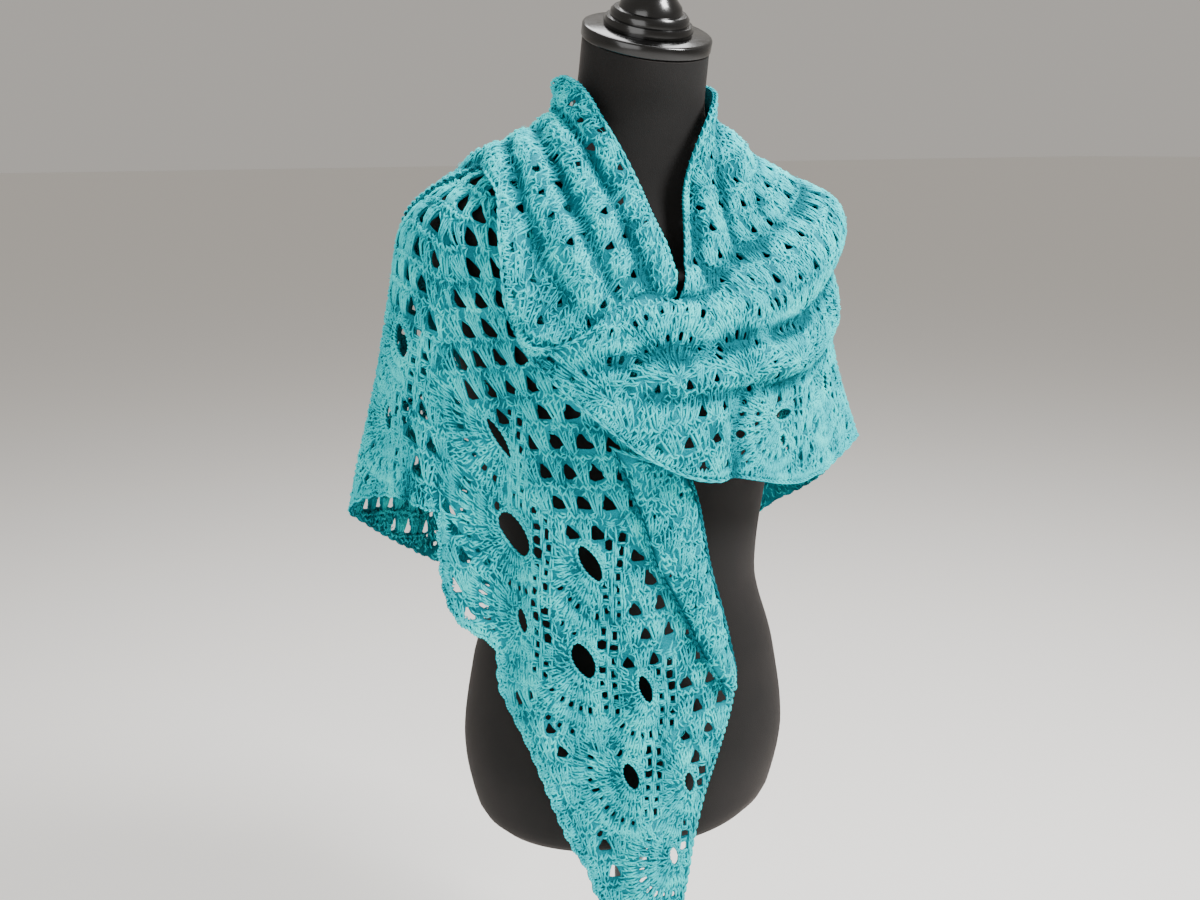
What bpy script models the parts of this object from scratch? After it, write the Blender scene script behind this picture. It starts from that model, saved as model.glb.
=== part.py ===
"""Crocheted triangular shawl wrapped round a limbless velvet dress form on a counter stand.

Metres, +Z up. The stand's base plate rests on Z = 0, the form faces -Y and its left side is +X.
The cloth is placed on one draping surface that follows the form's shoulders and bust and hangs
from them. A place on it has two coordinates: the azimuth in degrees, 0 at the front and +90 at
the form's left, and the length of cloth in metres down from the neck.
"""
import math

import bpy
import numpy as np
from mathutils import Vector
from mathutils.geometry import delaunay_2d_cdt

SEAM_GAP = 0.0003
CLOTH_THICKNESS = 0.003

BASE_RADIUS = 0.150
BASE_THICKNESS = 0.018
POLE_RADIUS = 0.0125
SOCKET_RADIUS = 0.024
SOCKET_HEIGHT = 0.060
PAN_Z = 0.336
CAP_RADIUS = 0.0580
CAP_THICKNESS = 0.012
NECK_TILT = math.radians(20.0)
ROUND_SEGMENTS = 32
FORM_SEGMENTS = 36
FORM_RING_SPACING = 0.034

# The form's level sections, from the pan under the hips to the top of the neck.
# name, height, half width, depth in front, depth behind, squareness, centre line's Y
FORM_SECTIONS = (
    ("pan edge", PAN_Z, 0.100, 0.070, 0.080, 2.0, 0.000),
    ("pan turn", 0.345, 0.138, 0.105, 0.114, 2.0, 0.000),
    ("seat", 0.370, 0.157, 0.120, 0.130, 2.0, 0.000),
    ("hips", 0.430, 0.166, 0.126, 0.138, 2.1, 0.000),
    ("upper hip", 0.510, 0.156, 0.116, 0.124, 2.1, 0.000),
    ("waist", 0.595, 0.136, 0.099, 0.098, 2.0, -0.002),
    ("ribs", 0.700, 0.146, 0.112, 0.102, 2.0, -0.004),
    ("bust", 0.805, 0.160, 0.142, 0.112, 2.2, -0.004),
    ("chest", 0.880, 0.178, 0.116, 0.114, 2.4, -0.004),
    ("arm line", 0.940, 0.190, 0.082, 0.100, 2.6, -0.004),
    ("shoulder", 0.968, 0.168, 0.066, 0.085, 2.4, -0.010),
    ("slope", 0.996, 0.100, 0.060, 0.072, 2.1, -0.018),
    ("neck base", 1.022, 0.066, 0.058, 0.062, 2.0, -0.026),
    ("neck", 1.055, 0.0575, 0.0570, 0.0570, 2.0, -0.037),
    ("neck top", 1.093, 0.0560, 0.0560, 0.0560, 2.0, -0.046),
)
HEIGHT, HALF_WIDTH, FRONT, BACK, SQUARE, CENTRE = 1, 2, 3, 4, 5, 6

# How the cloth stands off the form at its sides and flares toward its hem.
# azimuth, stand-off at shoulder level, stand-off at bust level, flare per metre of drop
STAND_OFF = (
    (-180, 0.008, 0.010, 0.10),
    (-140, 0.014, 0.014, 0.16),
    (-105, 0.020, 0.026, 0.18),
    (-85, 0.018, 0.022, 0.12),
    (-62, 0.004, 0.003, 0.02),
    (-30, 0.000, 0.000, 0.00),
    (30, 0.000, 0.000, 0.00),
    (55, 0.010, 0.002, 0.04),
    (77, 0.016, 0.002, 0.20),
    (105, 0.016, 0.012, 0.22),
    (140, 0.014, 0.014, 0.16),
    (180, 0.008, 0.010, 0.10),
)
SLOPE_LEVEL = 0.966
SHOULDER_LEVEL = 0.925
BUST_LEVEL = 0.83
FLARE_START = 0.10
NECK_LEVEL = 1.085
LOWEST_LEVEL = 0.20
AZIMUTH_STEP = 3.0
LEVEL_STEP = 0.004
LENGTH_STEP = 0.005

# Soft vertical ripples of the layer that lies on the form.
# azimuth of the crest, half width in degrees, height at the hem, length at which it starts
RIPPLES = (
    (-100, 12, 0.012, 0.34),
    (-79, 4, 0.010, 0.35),
    (-52, 12, 0.006, 0.30),
    (-22, 10, 0.005, 0.40),
    (80, 14, 0.016, 0.34),
    (-136, 11, 0.014, 0.22),
    (-164, 10, 0.010, 0.16),
    (167, 10, 0.012, 0.16),
    (139, 11, 0.014, 0.20),
    (112, 9, 0.012, 0.26),
)
RIPPLE_RAMP = 0.16

FOLD_SPREAD = 1.25

# Folds of the cowl. Each crest runs through a few places, and at each it has its own height and
# its reach to either side: first the side toward the hem, then the side toward the neck.
# azimuth, length, height, reach below, reach above
FRONT_FOLDS = {
    "front roll": (
        (96, 0.215, 0.000, 0.030, 0.030), (76, 0.218, 0.016, 0.030, 0.030), (50, 0.224, 0.022, 0.030, 0.036),
        (22, 0.240, 0.023, 0.028, 0.030), (2, 0.248, 0.022, 0.028, 0.022), (-12, 0.242, 0.019, 0.034, 0.016),
        (-24, 0.238, 0.017, 0.044, 0.016), (-36, 0.256, 0.014, 0.034, 0.014), (-50, 0.274, 0.008, 0.020, 0.012)),
    "lower roll": (
        (88, 0.300, 0.000, 0.018, 0.030), (68, 0.298, 0.014, 0.018, 0.030), (44, 0.290, 0.016, 0.017, 0.028),
        (20, 0.286, 0.016, 0.016, 0.026), (-10, 0.296, 0.014, 0.016, 0.026), (-34, 0.288, 0.008, 0.014, 0.020),
        (-44, 0.284, 0.000, 0.012, 0.016)),
    "left ridge": (
        (34, 0.055, 0.006, 0.016, 0.012), (29, 0.090, 0.010, 0.018, 0.013), (26, 0.135, 0.011, 0.018, 0.014),
        (20, 0.172, 0.009, 0.018, 0.014), (10, 0.205, 0.003, 0.014, 0.014)),
    "left shoulder pleat": (
        (100, 0.085, 0.000, 0.022, 0.022), (72, 0.092, 0.008, 0.024, 0.024), (52, 0.108, 0.011, 0.024, 0.024),
        (40, 0.150, 0.007, 0.020, 0.020), (34, 0.185, 0.000, 0.018, 0.018)),
}
# Pleats that gather over the right shoulder and tuck in behind the front roll.
PLEATS = {
    "neck pleat": (
        (-120, 0.060, 0.000, 0.016, 0.020), (-84, 0.046, 0.012, 0.015, 0.020), (-62, 0.062, 0.013, 0.015, 0.022),
        (-45, 0.094, 0.014, 0.015, 0.024), (-28, 0.140, 0.014, 0.016, 0.024), (-16, 0.186, 0.013, 0.016, 0.020),
        (-10, 0.218, 0.006, 0.014, 0.016)),
    "second pleat": (
        (-125, 0.100, 0.000, 0.014, 0.016), (-84, 0.078, 0.012, 0.013, 0.016), (-62, 0.106, 0.013, 0.013, 0.018),
        (-42, 0.152, 0.014, 0.012, 0.018), (-32, 0.200, 0.012, 0.012, 0.018), (-26, 0.224, 0.004, 0.010, 0.014)),
    "third pleat": (
        (-130, 0.140, 0.000, 0.015, 0.015), (-88, 0.108, 0.012, 0.015, 0.015), (-66, 0.140, 0.014, 0.016, 0.016),
        (-48, 0.190, 0.014, 0.018, 0.014), (-37, 0.226, 0.008, 0.018, 0.012)),
    "outer pleat": (
        (-128, 0.185, 0.000, 0.014, 0.016), (-88, 0.138, 0.012, 0.012, 0.015), (-76, 0.156, 0.011, 0.011, 0.018),
        (-67, 0.190, 0.010, 0.011, 0.022), (-62, 0.235, 0.010, 0.012, 0.024), (-53, 0.266, 0.008, 0.013, 0.020)),
}
NECK_ROLL_HEIGHT = 0.009
NECK_ROLL_REACH = 0.020

BODY_OFFSET = 0.0057
LAYER_STEP = 0.0054
PLEAT_STEP = 0.0070
EDGE_ROLL_HEIGHT = 0.009
EDGE_ROLL_GAP = 0.0009

# Borders of the stretches. Each line runs through places given as azimuth and length.
NECK_BACK = ((112, 0.030), (180, 0.034), (232, 0.030))
NECK_LEFT = ((58, 0.035), (85, 0.030), (112, 0.030))
SEAM_BACK_RIGHT = ((232, 0.030), (232, 0.550))
SEAM_BACK_LEFT = ((112, 0.030), (112, 0.560))
SEAM_COWL_LEFT = ((58, 0.035), (58, 0.425))
SEAM_WING_SIDE = ((-76, 0.060), (-76, 0.458))
SEAM_TAIL = ((-88, 0.022), (-88, 0.155))
HEM_BACK_LEFT = ((112, 0.560), (128, 0.592), (150, 0.615), (180, 0.636))
HEM_BACK_RIGHT = ((180, 0.636), (196, 0.606), (210, 0.585), (232, 0.550))
HEM_SIDE = ((-128, 0.550), (-112, 0.525), (-103, 0.505), (-94, 0.478), (-84, 0.462), (-76, 0.458))
HEM_LEFT = ((58, 0.425), (70, 0.436), (78, 0.442), (85, 0.462), (92, 0.494), (100, 0.525), (112, 0.560))
HEM_WING = ((-76, 0.458), (-75, 0.515), (-72, 0.548), (-65, 0.558), (-64, 0.594), (-61, 0.616), (-56, 0.638),
            (-52, 0.662), (-48, 0.694), (-44, 0.724), (-39, 0.750), (-36, 0.776), (-28, 0.808), (-20, 0.828),
            (-13, 0.834))
EDGE_WING = ((-13, 0.834), (-8, 0.815), (-4, 0.776), (-1, 0.730), (3, 0.688), (7, 0.660), (11, 0.632),
             (15, 0.598), (15, 0.570), (12, 0.550), (7, 0.504), (2, 0.464), (-3, 0.404), (-6, 0.376))
WING_UNDER_COWL = ((-6, 0.376), (-10, 0.325), (-20, 0.260), (-36, 0.190), (-56, 0.110), (-76, 0.060))
EDGE_ROLL_OUTER = ((-6, 0.378), (-2.5, 0.404), (2.5, 0.464), (7.5, 0.504), (13, 0.550), (15.5, 0.572), (16, 0.600))
EDGE_ROLL_INNER = ((16, 0.600), (9, 0.580), (1, 0.548), (-8, 0.500), (-17, 0.456), (-22, 0.412), (-27, 0.376),
                   (-31, 0.350), (-14, 0.366), (-6, 0.378))
NECKLINE_LEFT = ((58, 0.035), (35, 0.048), (20, 0.080), (10, 0.122), (2, 0.170), (-4, 0.208))
FLAP_EDGE = ((-4, 0.208), (-10, 0.234), (-18, 0.224), (-26, 0.226), (-33, 0.237), (-40, 0.257), (-50, 0.270),
             (-58, 0.268))
HEM_COWL = ((-58, 0.268), (-54, 0.280), (-46, 0.300), (-35, 0.324), (-23, 0.352), (-7, 0.376), (12, 0.384),
            (35, 0.402), (58, 0.425))
NECKLINE_RIGHT = ((-7, 0.210), (-12, 0.176), (-24, 0.126), (-38, 0.086), (-53, 0.052), (-70, 0.030), (-88, 0.022))
HEM_PLEATS = ((-88, 0.155), (-76, 0.168), (-69, 0.180), (-64, 0.215), (-61, 0.256), (-57, 0.276))
RIGHT_UNDER_TAIL = ((-80, 0.062), (-100, 0.056), (-118, 0.045), (-127, 0.032))
PLEATS_UNDER_ROLL = ((-57, 0.276), (-46, 0.284), (-34, 0.258), (-22, 0.246), (-12, 0.250), (-7, 0.210))
TAIL_OUTLINE = ((-88, 0.155), (-100, 0.205), (-112, 0.260), (-122, 0.315), (-131, 0.350), (-139, 0.318),
                (-144, 0.250), (-146, 0.180), (-142, 0.110), (-130, 0.055), (-108, 0.028), (-88, 0.022))

# Eyes of the fan border that show: azimuth, length, width across, height, lean in degrees.
EYES_WING = (
    (-64, 0.366, 0.012, 0.034, 38),
    (-60, 0.444, 0.030, 0.036, 20),
    (-38, 0.454, 0.016, 0.036, 22),
    (-40, 0.545, 0.020, 0.035, 12),
    (-20, 0.572, 0.012, 0.030, 12),
    (-25, 0.656, 0.014, 0.027, 8),
    (-3, 0.672, 0.011, 0.021, 0),
    (-9, 0.744, 0.009, 0.019, 0),
    (-58, 0.520, 0.012, 0.022, 0),
)
EYES_SIDE = (
    (-98, 0.330, 0.022, 0.028, 10),
    (-112, 0.405, 0.016, 0.026, 0),
    (-90, 0.400, 0.012, 0.022, 0),
)
EYES_COWL = (
    (36, 0.338, 0.026, 0.011, 0),
    (36, 0.362, 0.010, 0.013, 0),
    (14, 0.346, 0.014, 0.009, 0),
)
BORDER_PITCH_DEGREES = 17.0
INNER_EYE_FROM_HEM = 0.140
OUTER_EYE_FROM_HEM = 0.072
BACK_EYE_WIDTH = 0.016
BACK_EYE_HEIGHT = 0.028
EYE_SIDES = 8


def clear_scene():
    for item in list(bpy.context.scene.objects):
        bpy.data.objects.remove(item, do_unlink=True)


def make_material(name, colour, roughness, metallic=0.0):
    material = bpy.data.materials.new(name)
    material.use_nodes = True
    shader = material.node_tree.nodes["Principled BSDF"]
    shader.inputs["Base Color"].default_value = (*colour, 1.0)
    shader.inputs["Roughness"].default_value = roughness
    shader.inputs["Metallic"].default_value = metallic
    material.diffuse_color = (*colour, 1.0)
    return material


def smooth_table(table, column, place, key=HEIGHT):
    """Monotone cubic curve through one column of a table, read at the given places."""
    xs = np.array([row[key] for row in table], dtype=float)
    ys = np.array([row[column] for row in table], dtype=float)
    span = np.diff(xs)
    slope = np.diff(ys) / span
    tangent = np.zeros_like(ys)
    tangent[0] = slope[0]
    tangent[-1] = slope[-1]
    for i in range(1, len(xs) - 1):
        if slope[i - 1] * slope[i] > 0:
            near = 2 * span[i] + span[i - 1]
            far = span[i] + 2 * span[i - 1]
            tangent[i] = (near + far) / (near / slope[i - 1] + far / slope[i])
    i = np.clip(np.searchsorted(xs, place) - 1, 0, len(xs) - 2)
    t = np.clip((place - xs[i]) / span[i], 0.0, 1.0)
    rise = t * t * (3 - 2 * t)
    start = t * (1 - t) ** 2 * span[i] * tangent[i]
    end = -t * t * (1 - t) * span[i] * tangent[i + 1]
    return ys[i] * (1 - rise) + ys[i + 1] * rise + start + end


def form_radius(azimuth, height):
    """Distance from the form's centre line to its skin, at an azimuth in radians."""
    half, front, back, square = [
        smooth_table(FORM_SECTIONS, column, height) for column in (HALF_WIDTH, FRONT, BACK, SQUARE)]
    side = np.abs(np.sin(azimuth) / half)
    depth = np.abs(np.cos(azimuth)) / np.where(np.cos(azimuth) > 0, front, back)
    return (side ** square + depth ** square) ** (-1.0 / square)


def centre_line(height):
    return smooth_table(FORM_SECTIONS, CENTRE, height)


def blur(values, reach, axis, wrap=False):
    """Soften a grid along one axis with a bell-shaped weight."""
    weight = np.hanning(2 * reach + 3)[1:-1]
    weight = weight / weight.sum()
    pad = [(0, 0)] * values.ndim
    pad[axis] = (reach, reach)
    if wrap:
        padded = np.pad(values, pad, mode="wrap")
    else:
        padded = np.pad(values, pad, mode="reflect", reflect_type="odd")
    return np.apply_along_axis(lambda line: np.convolve(line, weight, "valid"), axis, padded)


def stand_off(degrees, heights):
    """Extra radius of the draping surface: padding at the sides and a flare below."""
    rows = np.array(STAND_OFF, dtype=float)
    high = np.interp(degrees, rows[:, 0], rows[:, 1])[:, None]
    low = np.interp(degrees, rows[:, 0], rows[:, 2])[:, None]
    flare = np.interp(degrees, rows[:, 0], rows[:, 3])[:, None]
    from_neck = np.clip((SLOPE_LEVEL - heights) / (SLOPE_LEVEL - SHOULDER_LEVEL), 0, 1)[None, :]
    toward_bust = np.clip((SHOULDER_LEVEL - heights) / (SHOULDER_LEVEL - BUST_LEVEL), 0, 1)[None, :]
    drop = np.clip(SHOULDER_LEVEL - heights, 0, None)[None, :]
    return from_neck * (high + (low - high) * toward_bust) + flare * drop ** 1.5 / (drop + FLARE_START) ** 0.5


def draping_surface():
    """Grid of places and outward normals on the surface that the cloth hangs on."""
    degrees = np.arange(-180.0, 180.0, AZIMUTH_STEP)
    azimuths = np.radians(degrees)
    heights = np.arange(NECK_LEVEL, LOWEST_LEVEL, -LEVEL_STEP)
    skin = np.stack([form_radius(a, np.maximum(heights, PAN_Z + 0.004)) for a in azimuths])
    radius = blur(np.maximum.accumulate(skin, axis=1), 3, 0, wrap=True)
    radius = np.maximum(radius + stand_off(degrees, heights), skin)
    radius = blur(radius, 5, 1)
    middle = blur(centre_line(heights)[None, :], 5, 1)[0]
    place = np.stack([
        radius * np.sin(azimuths)[:, None],
        middle[None, :] - radius * np.cos(azimuths)[:, None],
        np.broadcast_to(heights, radius.shape)], axis=-1)
    steps = np.linalg.norm(np.diff(place, axis=1), axis=2)
    length = np.concatenate([np.zeros((len(azimuths), 1)), np.cumsum(steps, axis=1)], axis=1)
    even = np.arange(0.0, length[:, -1].min(), LENGTH_STEP)
    grid = np.stack([
        np.stack([np.interp(even, length[i], place[i, :, k]) for k in range(3)], axis=-1)
        for i in range(len(azimuths))])
    around = np.roll(grid, -1, 0) - np.roll(grid, 1, 0)
    down = np.gradient(grid, axis=1)
    normal = np.cross(down, around)
    for _ in range(2):
        normal = blur(blur(normal, 2, 0, wrap=True), 4, 1)
    return grid, normal / np.linalg.norm(normal, axis=2, keepdims=True)


def azimuth_scale(grid):
    """Metres per degree of azimuth at each place of the grid."""
    around = np.linalg.norm(np.roll(grid, -1, 0) - np.roll(grid, 1, 0), axis=2)
    return around[..., None] / (2 * AZIMUTH_STEP)


SURFACE, NORMALS = draping_surface()
SCALE = azimuth_scale(SURFACE)


def read_grid(grid, degrees, length):
    column = (np.asarray(degrees, dtype=float) + 180.0) / AZIMUTH_STEP
    row = np.clip(np.asarray(length, dtype=float) / LENGTH_STEP, 0, grid.shape[1] - 1.001)
    i = np.floor(column).astype(int)
    j = np.floor(row).astype(int)
    u = (column - i)[..., None]
    v = (row - j)[..., None]
    here = i % grid.shape[0]
    after = (i + 1) % grid.shape[0]
    first = grid[here, j] * (1 - v) + grid[here, j + 1] * v
    second = grid[after, j] * (1 - v) + grid[after, j + 1] * v
    return first * (1 - u) + second * u


def place_on_surface(degrees, length, offset):
    normal = read_grid(NORMALS, degrees, length)
    normal = normal / np.linalg.norm(normal, axis=-1, keepdims=True)
    return read_grid(SURFACE, degrees, length) + normal * np.asarray(offset)[..., None]


def wrap_degrees(value):
    return (np.asarray(value, dtype=float) + 180.0) % 360.0 - 180.0


def hump(distance):
    """Round hump of height 1 that ends at distance 1."""
    return 1 - np.clip(np.abs(distance), 0, 1) ** 2


def swell(distance):
    """Soft swell of height 1 that fades out at distance 1."""
    return 0.5 + 0.5 * np.cos(math.pi * np.clip(np.abs(distance), 0, 1))


def ramp(value, start, end):
    t = np.clip((np.asarray(value, dtype=float) - start) / (end - start), 0, 1)
    return t * t * (3 - 2 * t)


def line_length(line, degrees):
    """Length coordinate of a border at the given azimuths."""
    rows = np.array(sorted(line), dtype=float)
    return np.interp(degrees, rows[:, 0], rows[:, 1])


def fold_height(crest, angle, length):
    """Height of one fold: full on its crest, round on both sides, nothing past its reach."""
    scale = read_grid(SCALE, angle, length)[..., 0]
    nearest = np.full(np.shape(angle), 1e9)
    height = np.zeros(np.shape(angle))
    for (a0, s0, *start), (a1, s1, *end) in zip(crest, crest[1:]):
        run = (a1 - a0) * scale
        x = (angle - a0) * scale
        y = length - s0
        t = np.clip((x * run + y * (s1 - s0)) / (run * run + (s1 - s0) ** 2), 0, 1)
        away = np.hypot(x - t * run, y - t * (s1 - s0))
        toward_hem = y - t * (s1 - s0) > 0
        top, below, above = [start[k] * (1 - t) + end[k] * t for k in range(3)]
        value = top * swell(away / (FOLD_SPREAD * np.where(toward_hem, below, above)))
        height = np.where(away < nearest, value, height)
        nearest = np.minimum(nearest, away)
    return height


def body_offset(degrees, length):
    """Middle of the cloth that lies on the form, measured out from the draping surface."""
    angle = wrap_degrees(degrees)
    offset = np.full(np.shape(angle), BODY_OFFSET)
    for crest, width, height, start in RIPPLES:
        away = wrap_degrees(angle - crest) / width
        offset = offset + height * swell(away) * ramp(length, start, start + RIPPLE_RAMP)
    return offset


def edge_roll_lift(degrees, length):
    """Height of the turned-over edge of the front wing above the wing."""
    outer = line_length([(s, a) for a, s in EDGE_ROLL_OUTER], length)
    inner = line_length([(s, a) for a, s in EDGE_ROLL_INNER[:8]], length)
    across = (np.asarray(degrees, dtype=float) - inner) / np.maximum(outer - inner, 1.0)
    inside = hump(np.clip(2 * across - 1, -1, 1)) * ((across > 0) & (across < 1))
    return CLOTH_THICKNESS + EDGE_ROLL_GAP + EDGE_ROLL_HEIGHT * inside


def edge_roll_offset(degrees, length):
    return body_offset(degrees, length) + edge_roll_lift(degrees, length)


def tallest_fold(folds, angle, length):
    height = np.zeros(np.shape(angle))
    for crest in folds.values():
        height = np.maximum(height, fold_height(crest, angle, length))
    return height


def neck_roll(neckline, angle, length):
    away = length - line_length(neckline, angle) - 0.5 * NECK_ROLL_REACH
    return NECK_ROLL_HEIGHT * hump(away / NECK_ROLL_REACH)


def upper_layer(degrees, length):
    """Level of the layer that lies over the wing and over the wing's rolled edge."""
    angle = wrap_degrees(degrees)
    over_wing = 1 - ramp(angle, 14, 50)
    over_roll = ramp(length, 0.27, 0.34) * ramp(angle, -50, -34) * (1 - ramp(angle, 0, 14))
    level = body_offset(degrees, length) + LAYER_STEP * over_wing
    return level + (LAYER_STEP + EDGE_ROLL_HEIGHT) * over_roll


def pleats_offset(degrees, length):
    """Middle of the pleats over the right shoulder and of the tail that they run into."""
    angle = wrap_degrees(degrees)
    length = np.asarray(length, dtype=float)
    folds = tallest_fold(PLEATS, angle, length)
    return upper_layer(degrees, length) + np.maximum(folds, neck_roll(NECKLINE_RIGHT, angle, length))


def cowl_offset(degrees, length):
    """Middle of the cowl. Its front roll lies over the pleats' lower ends."""
    angle = wrap_degrees(degrees)
    length = np.asarray(length, dtype=float)
    folds = tallest_fold(FRONT_FOLDS, angle, length)
    folds = np.maximum(folds, neck_roll(NECKLINE_LEFT, angle, length) * (1 - ramp(angle, 30, 70)))
    level = upper_layer(degrees, length)
    over_pleats = pleats_offset(degrees, length) + PLEAT_STEP
    beside = ramp(angle, 0, 10)
    return np.maximum(level + folds, over_pleats * (1 - beside) + level * beside)


def metres_per_degree(degrees, length):
    return read_grid(SCALE, degrees, length)[..., 0]


def trace(line, spacing):
    """Points at about the given spacing along a line of places, without its last point."""
    points = []
    for (a0, s0), (a1, s1) in zip(line, line[1:]):
        wide = (a1 - a0) * float(metres_per_degree(0.5 * (a0 + a1), 0.5 * (s0 + s1)))
        count = max(1, round(math.hypot(wide, s1 - s0) / spacing))
        for k in range(count):
            t = k / count
            points.append((a0 + (a1 - a0) * t, s0 + (s1 - s0) * t))
    return points


def shift_seam(line, side):
    """Move a seam sideways by half the seam gap."""
    moved = []
    for angle, length in line:
        scale = float(metres_per_degree(angle, length))
        moved.append((angle + side * 0.5 * SEAM_GAP / scale, length))
    return moved


def eye_outline(angle, length, width, height, lean):
    """Lens-shaped hole with its long axis down the cloth, leaned by some degrees."""
    scale = float(metres_per_degree(angle, length))
    turn = math.radians(lean)
    points = []
    for k in range(EYE_SIDES):
        t = 2 * math.pi * k / EYE_SIDES
        x = 0.5 * width * math.cos(t) * (0.75 + 0.25 * abs(math.cos(t)))
        y = 0.5 * height * math.sin(t)
        across = x * math.cos(turn) + y * math.sin(turn)
        along = y * math.cos(turn) - x * math.sin(turn)
        points.append((angle + across / scale, length + along))
    return points


def back_eyes(first, last, hem):
    """Two rows of border eyes that follow the back hem, half a repeat apart."""
    eyes = []
    for from_hem, start in ((OUTER_EYE_FROM_HEM, 0.25), (INNER_EYE_FROM_HEM, 0.75)):
        angle = first + start * BORDER_PITCH_DEGREES
        while angle < last:
            length = float(line_length(hem, angle)) - from_hem
            eyes.append((angle, length, BACK_EYE_WIDTH, BACK_EYE_HEIGHT, 0))
            angle += BORDER_PITCH_DEGREES
    return eyes


def inside_polygon(points, polygon):
    x = points[:, 0]
    y = points[:, 1]
    inside = np.zeros(len(points), dtype=bool)
    for k in range(len(polygon)):
        x0, y0 = polygon[k - 1]
        x1, y1 = polygon[k]
        if y0 == y1:
            continue
        crosses = (y0 > y) != (y1 > y)
        inside ^= crosses & (x < (x1 - x0) * (y - y0) / (y1 - y0) + x0)
    return inside


def distance_to_outline(points, polygon):
    best = np.full(len(points), 1e9)
    for k in range(len(polygon)):
        start = np.array(polygon[k - 1])
        end = np.array(polygon[k])
        along = end - start
        t = np.clip(((points - start) @ along) / max(along @ along, 1e-18), 0, 1)
        best = np.minimum(best, np.linalg.norm(points - start - t[:, None] * along, axis=1))
    return best


def fill_points(outline, holes, spacing, flat_scale):
    """Staggered points inside the outline, clear of its border and of the holes."""
    rows = np.array(outline)
    points = []
    length = rows[:, 1].min() + 0.5 * spacing
    count = 0
    while length < rows[:, 1].max():
        angle = rows[:, 0].min() + (0.5 if count % 2 else 0.0)
        while angle < rows[:, 0].max():
            step = spacing / max(float(metres_per_degree(angle, length)), 1e-4)
            points.append((angle + (0.25 if count % 2 else -0.25) * step, length))
            angle += step
        length += 0.866 * spacing
        count += 1
    points = np.array(points) * flat_scale
    border = [tuple(np.array(p) * flat_scale) for p in outline]
    keep = inside_polygon(points, border) & (distance_to_outline(points, border) > 0.5 * spacing)
    for hole in holes:
        ring = [tuple(np.array(p) * flat_scale) for p in hole]
        keep &= ~inside_polygon(points, ring) & (distance_to_outline(points, ring) > 0.45 * spacing)
    return points[keep]


def sheet_triangles(outline, holes, spacing):
    """Flat triangulation of a stretch, returned as places on the surface and triangles."""
    middle_angle = sum(p[0] for p in outline) / len(outline)
    middle_length = sum(p[1] for p in outline) / len(outline)
    flat_scale = np.array([float(metres_per_degree(middle_angle, middle_length)), 1.0])
    points = [tuple(np.array(p) * flat_scale) for p in outline]
    edges = [(k, (k + 1) % len(points)) for k in range(len(points))]
    for hole in holes:
        start = len(points)
        points += [tuple(np.array(p) * flat_scale) for p in hole]
        edges += [(start + k, start + (k + 1) % len(hole)) for k in range(len(hole))]
    points += [tuple(p) for p in fill_points(outline, holes, spacing, flat_scale)]
    unit = 100.0
    found = delaunay_2d_cdt([Vector((x * unit, y * unit)) for x, y in points], edges, [], 0, 1e-5)
    flat = np.array([(v.x / unit, v.y / unit) for v in found[0]])
    faces = np.array([tuple(f) for f in found[2]])
    centres = flat[faces].mean(axis=1)
    keep = inside_polygon(centres, points[:len(outline)])
    for hole in holes:
        keep &= ~inside_polygon(centres, [tuple(np.array(p) * flat_scale) for p in hole])
    return flat / flat_scale, faces[keep]


def build_sheet(name, outline, holes, offset_at, spacing, material):
    """Closed cloth wall between two surfaces either side of the stretch's middle."""
    places, faces = sheet_triangles(outline, [eye_outline(*eye) for eye in holes], spacing)
    used = sorted(set(faces.ravel().tolist()))
    renumber = {old: new for new, old in enumerate(used)}
    faces = [tuple(renumber[v] for v in face) for face in faces.tolist()]
    angle = places[used, 0]
    length = places[used, 1]
    offset = offset_at(angle, length)
    outer = place_on_surface(angle, length, offset + 0.5 * CLOTH_THICKNESS)
    inner = place_on_surface(angle, length, offset - 0.5 * CLOTH_THICKNESS)
    count = len(used)
    if triangle_faces_in(outer, faces):
        faces = [face[::-1] for face in faces]
    directed = {(face[k], face[(k + 1) % 3]) for face in faces for k in range(3)}
    rim = [(a, b) for a, b in directed if (b, a) not in directed]
    walls = []
    for a, b in sorted(rim):
        walls.append((b, a, a + count))
        walls.append((b, a + count, b + count))
    solid = faces + [tuple(v + count for v in face[::-1]) for face in faces] + walls
    mesh = bpy.data.meshes.new(name)
    mesh.from_pydata(np.vstack([outer, inner]).tolist(), [], solid)
    return finish_object(name, mesh, material)


def triangle_faces_in(points, faces):
    """True when most triangles turn toward the form's centre line."""
    corners = points[np.array(faces)]
    normal = np.cross(corners[:, 1] - corners[:, 0], corners[:, 2] - corners[:, 0])
    centre = corners.mean(axis=1)
    outward = np.stack([centre[:, 0], centre[:, 1], np.zeros(len(centre))], axis=1)
    return float((normal * outward).sum()) < 0


def finish_object(name, mesh, material):
    mesh.update()
    mesh.shade_smooth()
    mesh.set_sharp_from_angle(angle=math.radians(50))
    mesh.materials.append(material)
    built = bpy.data.objects.new(name, mesh)
    bpy.context.collection.objects.link(built)
    return built


def loft(name, rings, material):
    """Closed body from rings of points listed bottom to top, turning anticlockwise from above."""
    size = len(rings[0])
    points = [tuple(p) for ring in rings for p in ring]
    faces = []
    for k in range(len(rings) - 1):
        for i in range(size):
            j = (i + 1) % size
            faces.append((k * size + i, k * size + j, (k + 1) * size + j, (k + 1) * size + i))
    faces.append(tuple(reversed(range(size))))
    faces.append(tuple(range((len(rings) - 1) * size, len(rings) * size)))
    mesh = bpy.data.meshes.new(name)
    mesh.from_pydata(points, [], faces)
    return finish_object(name, mesh, material)


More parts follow.
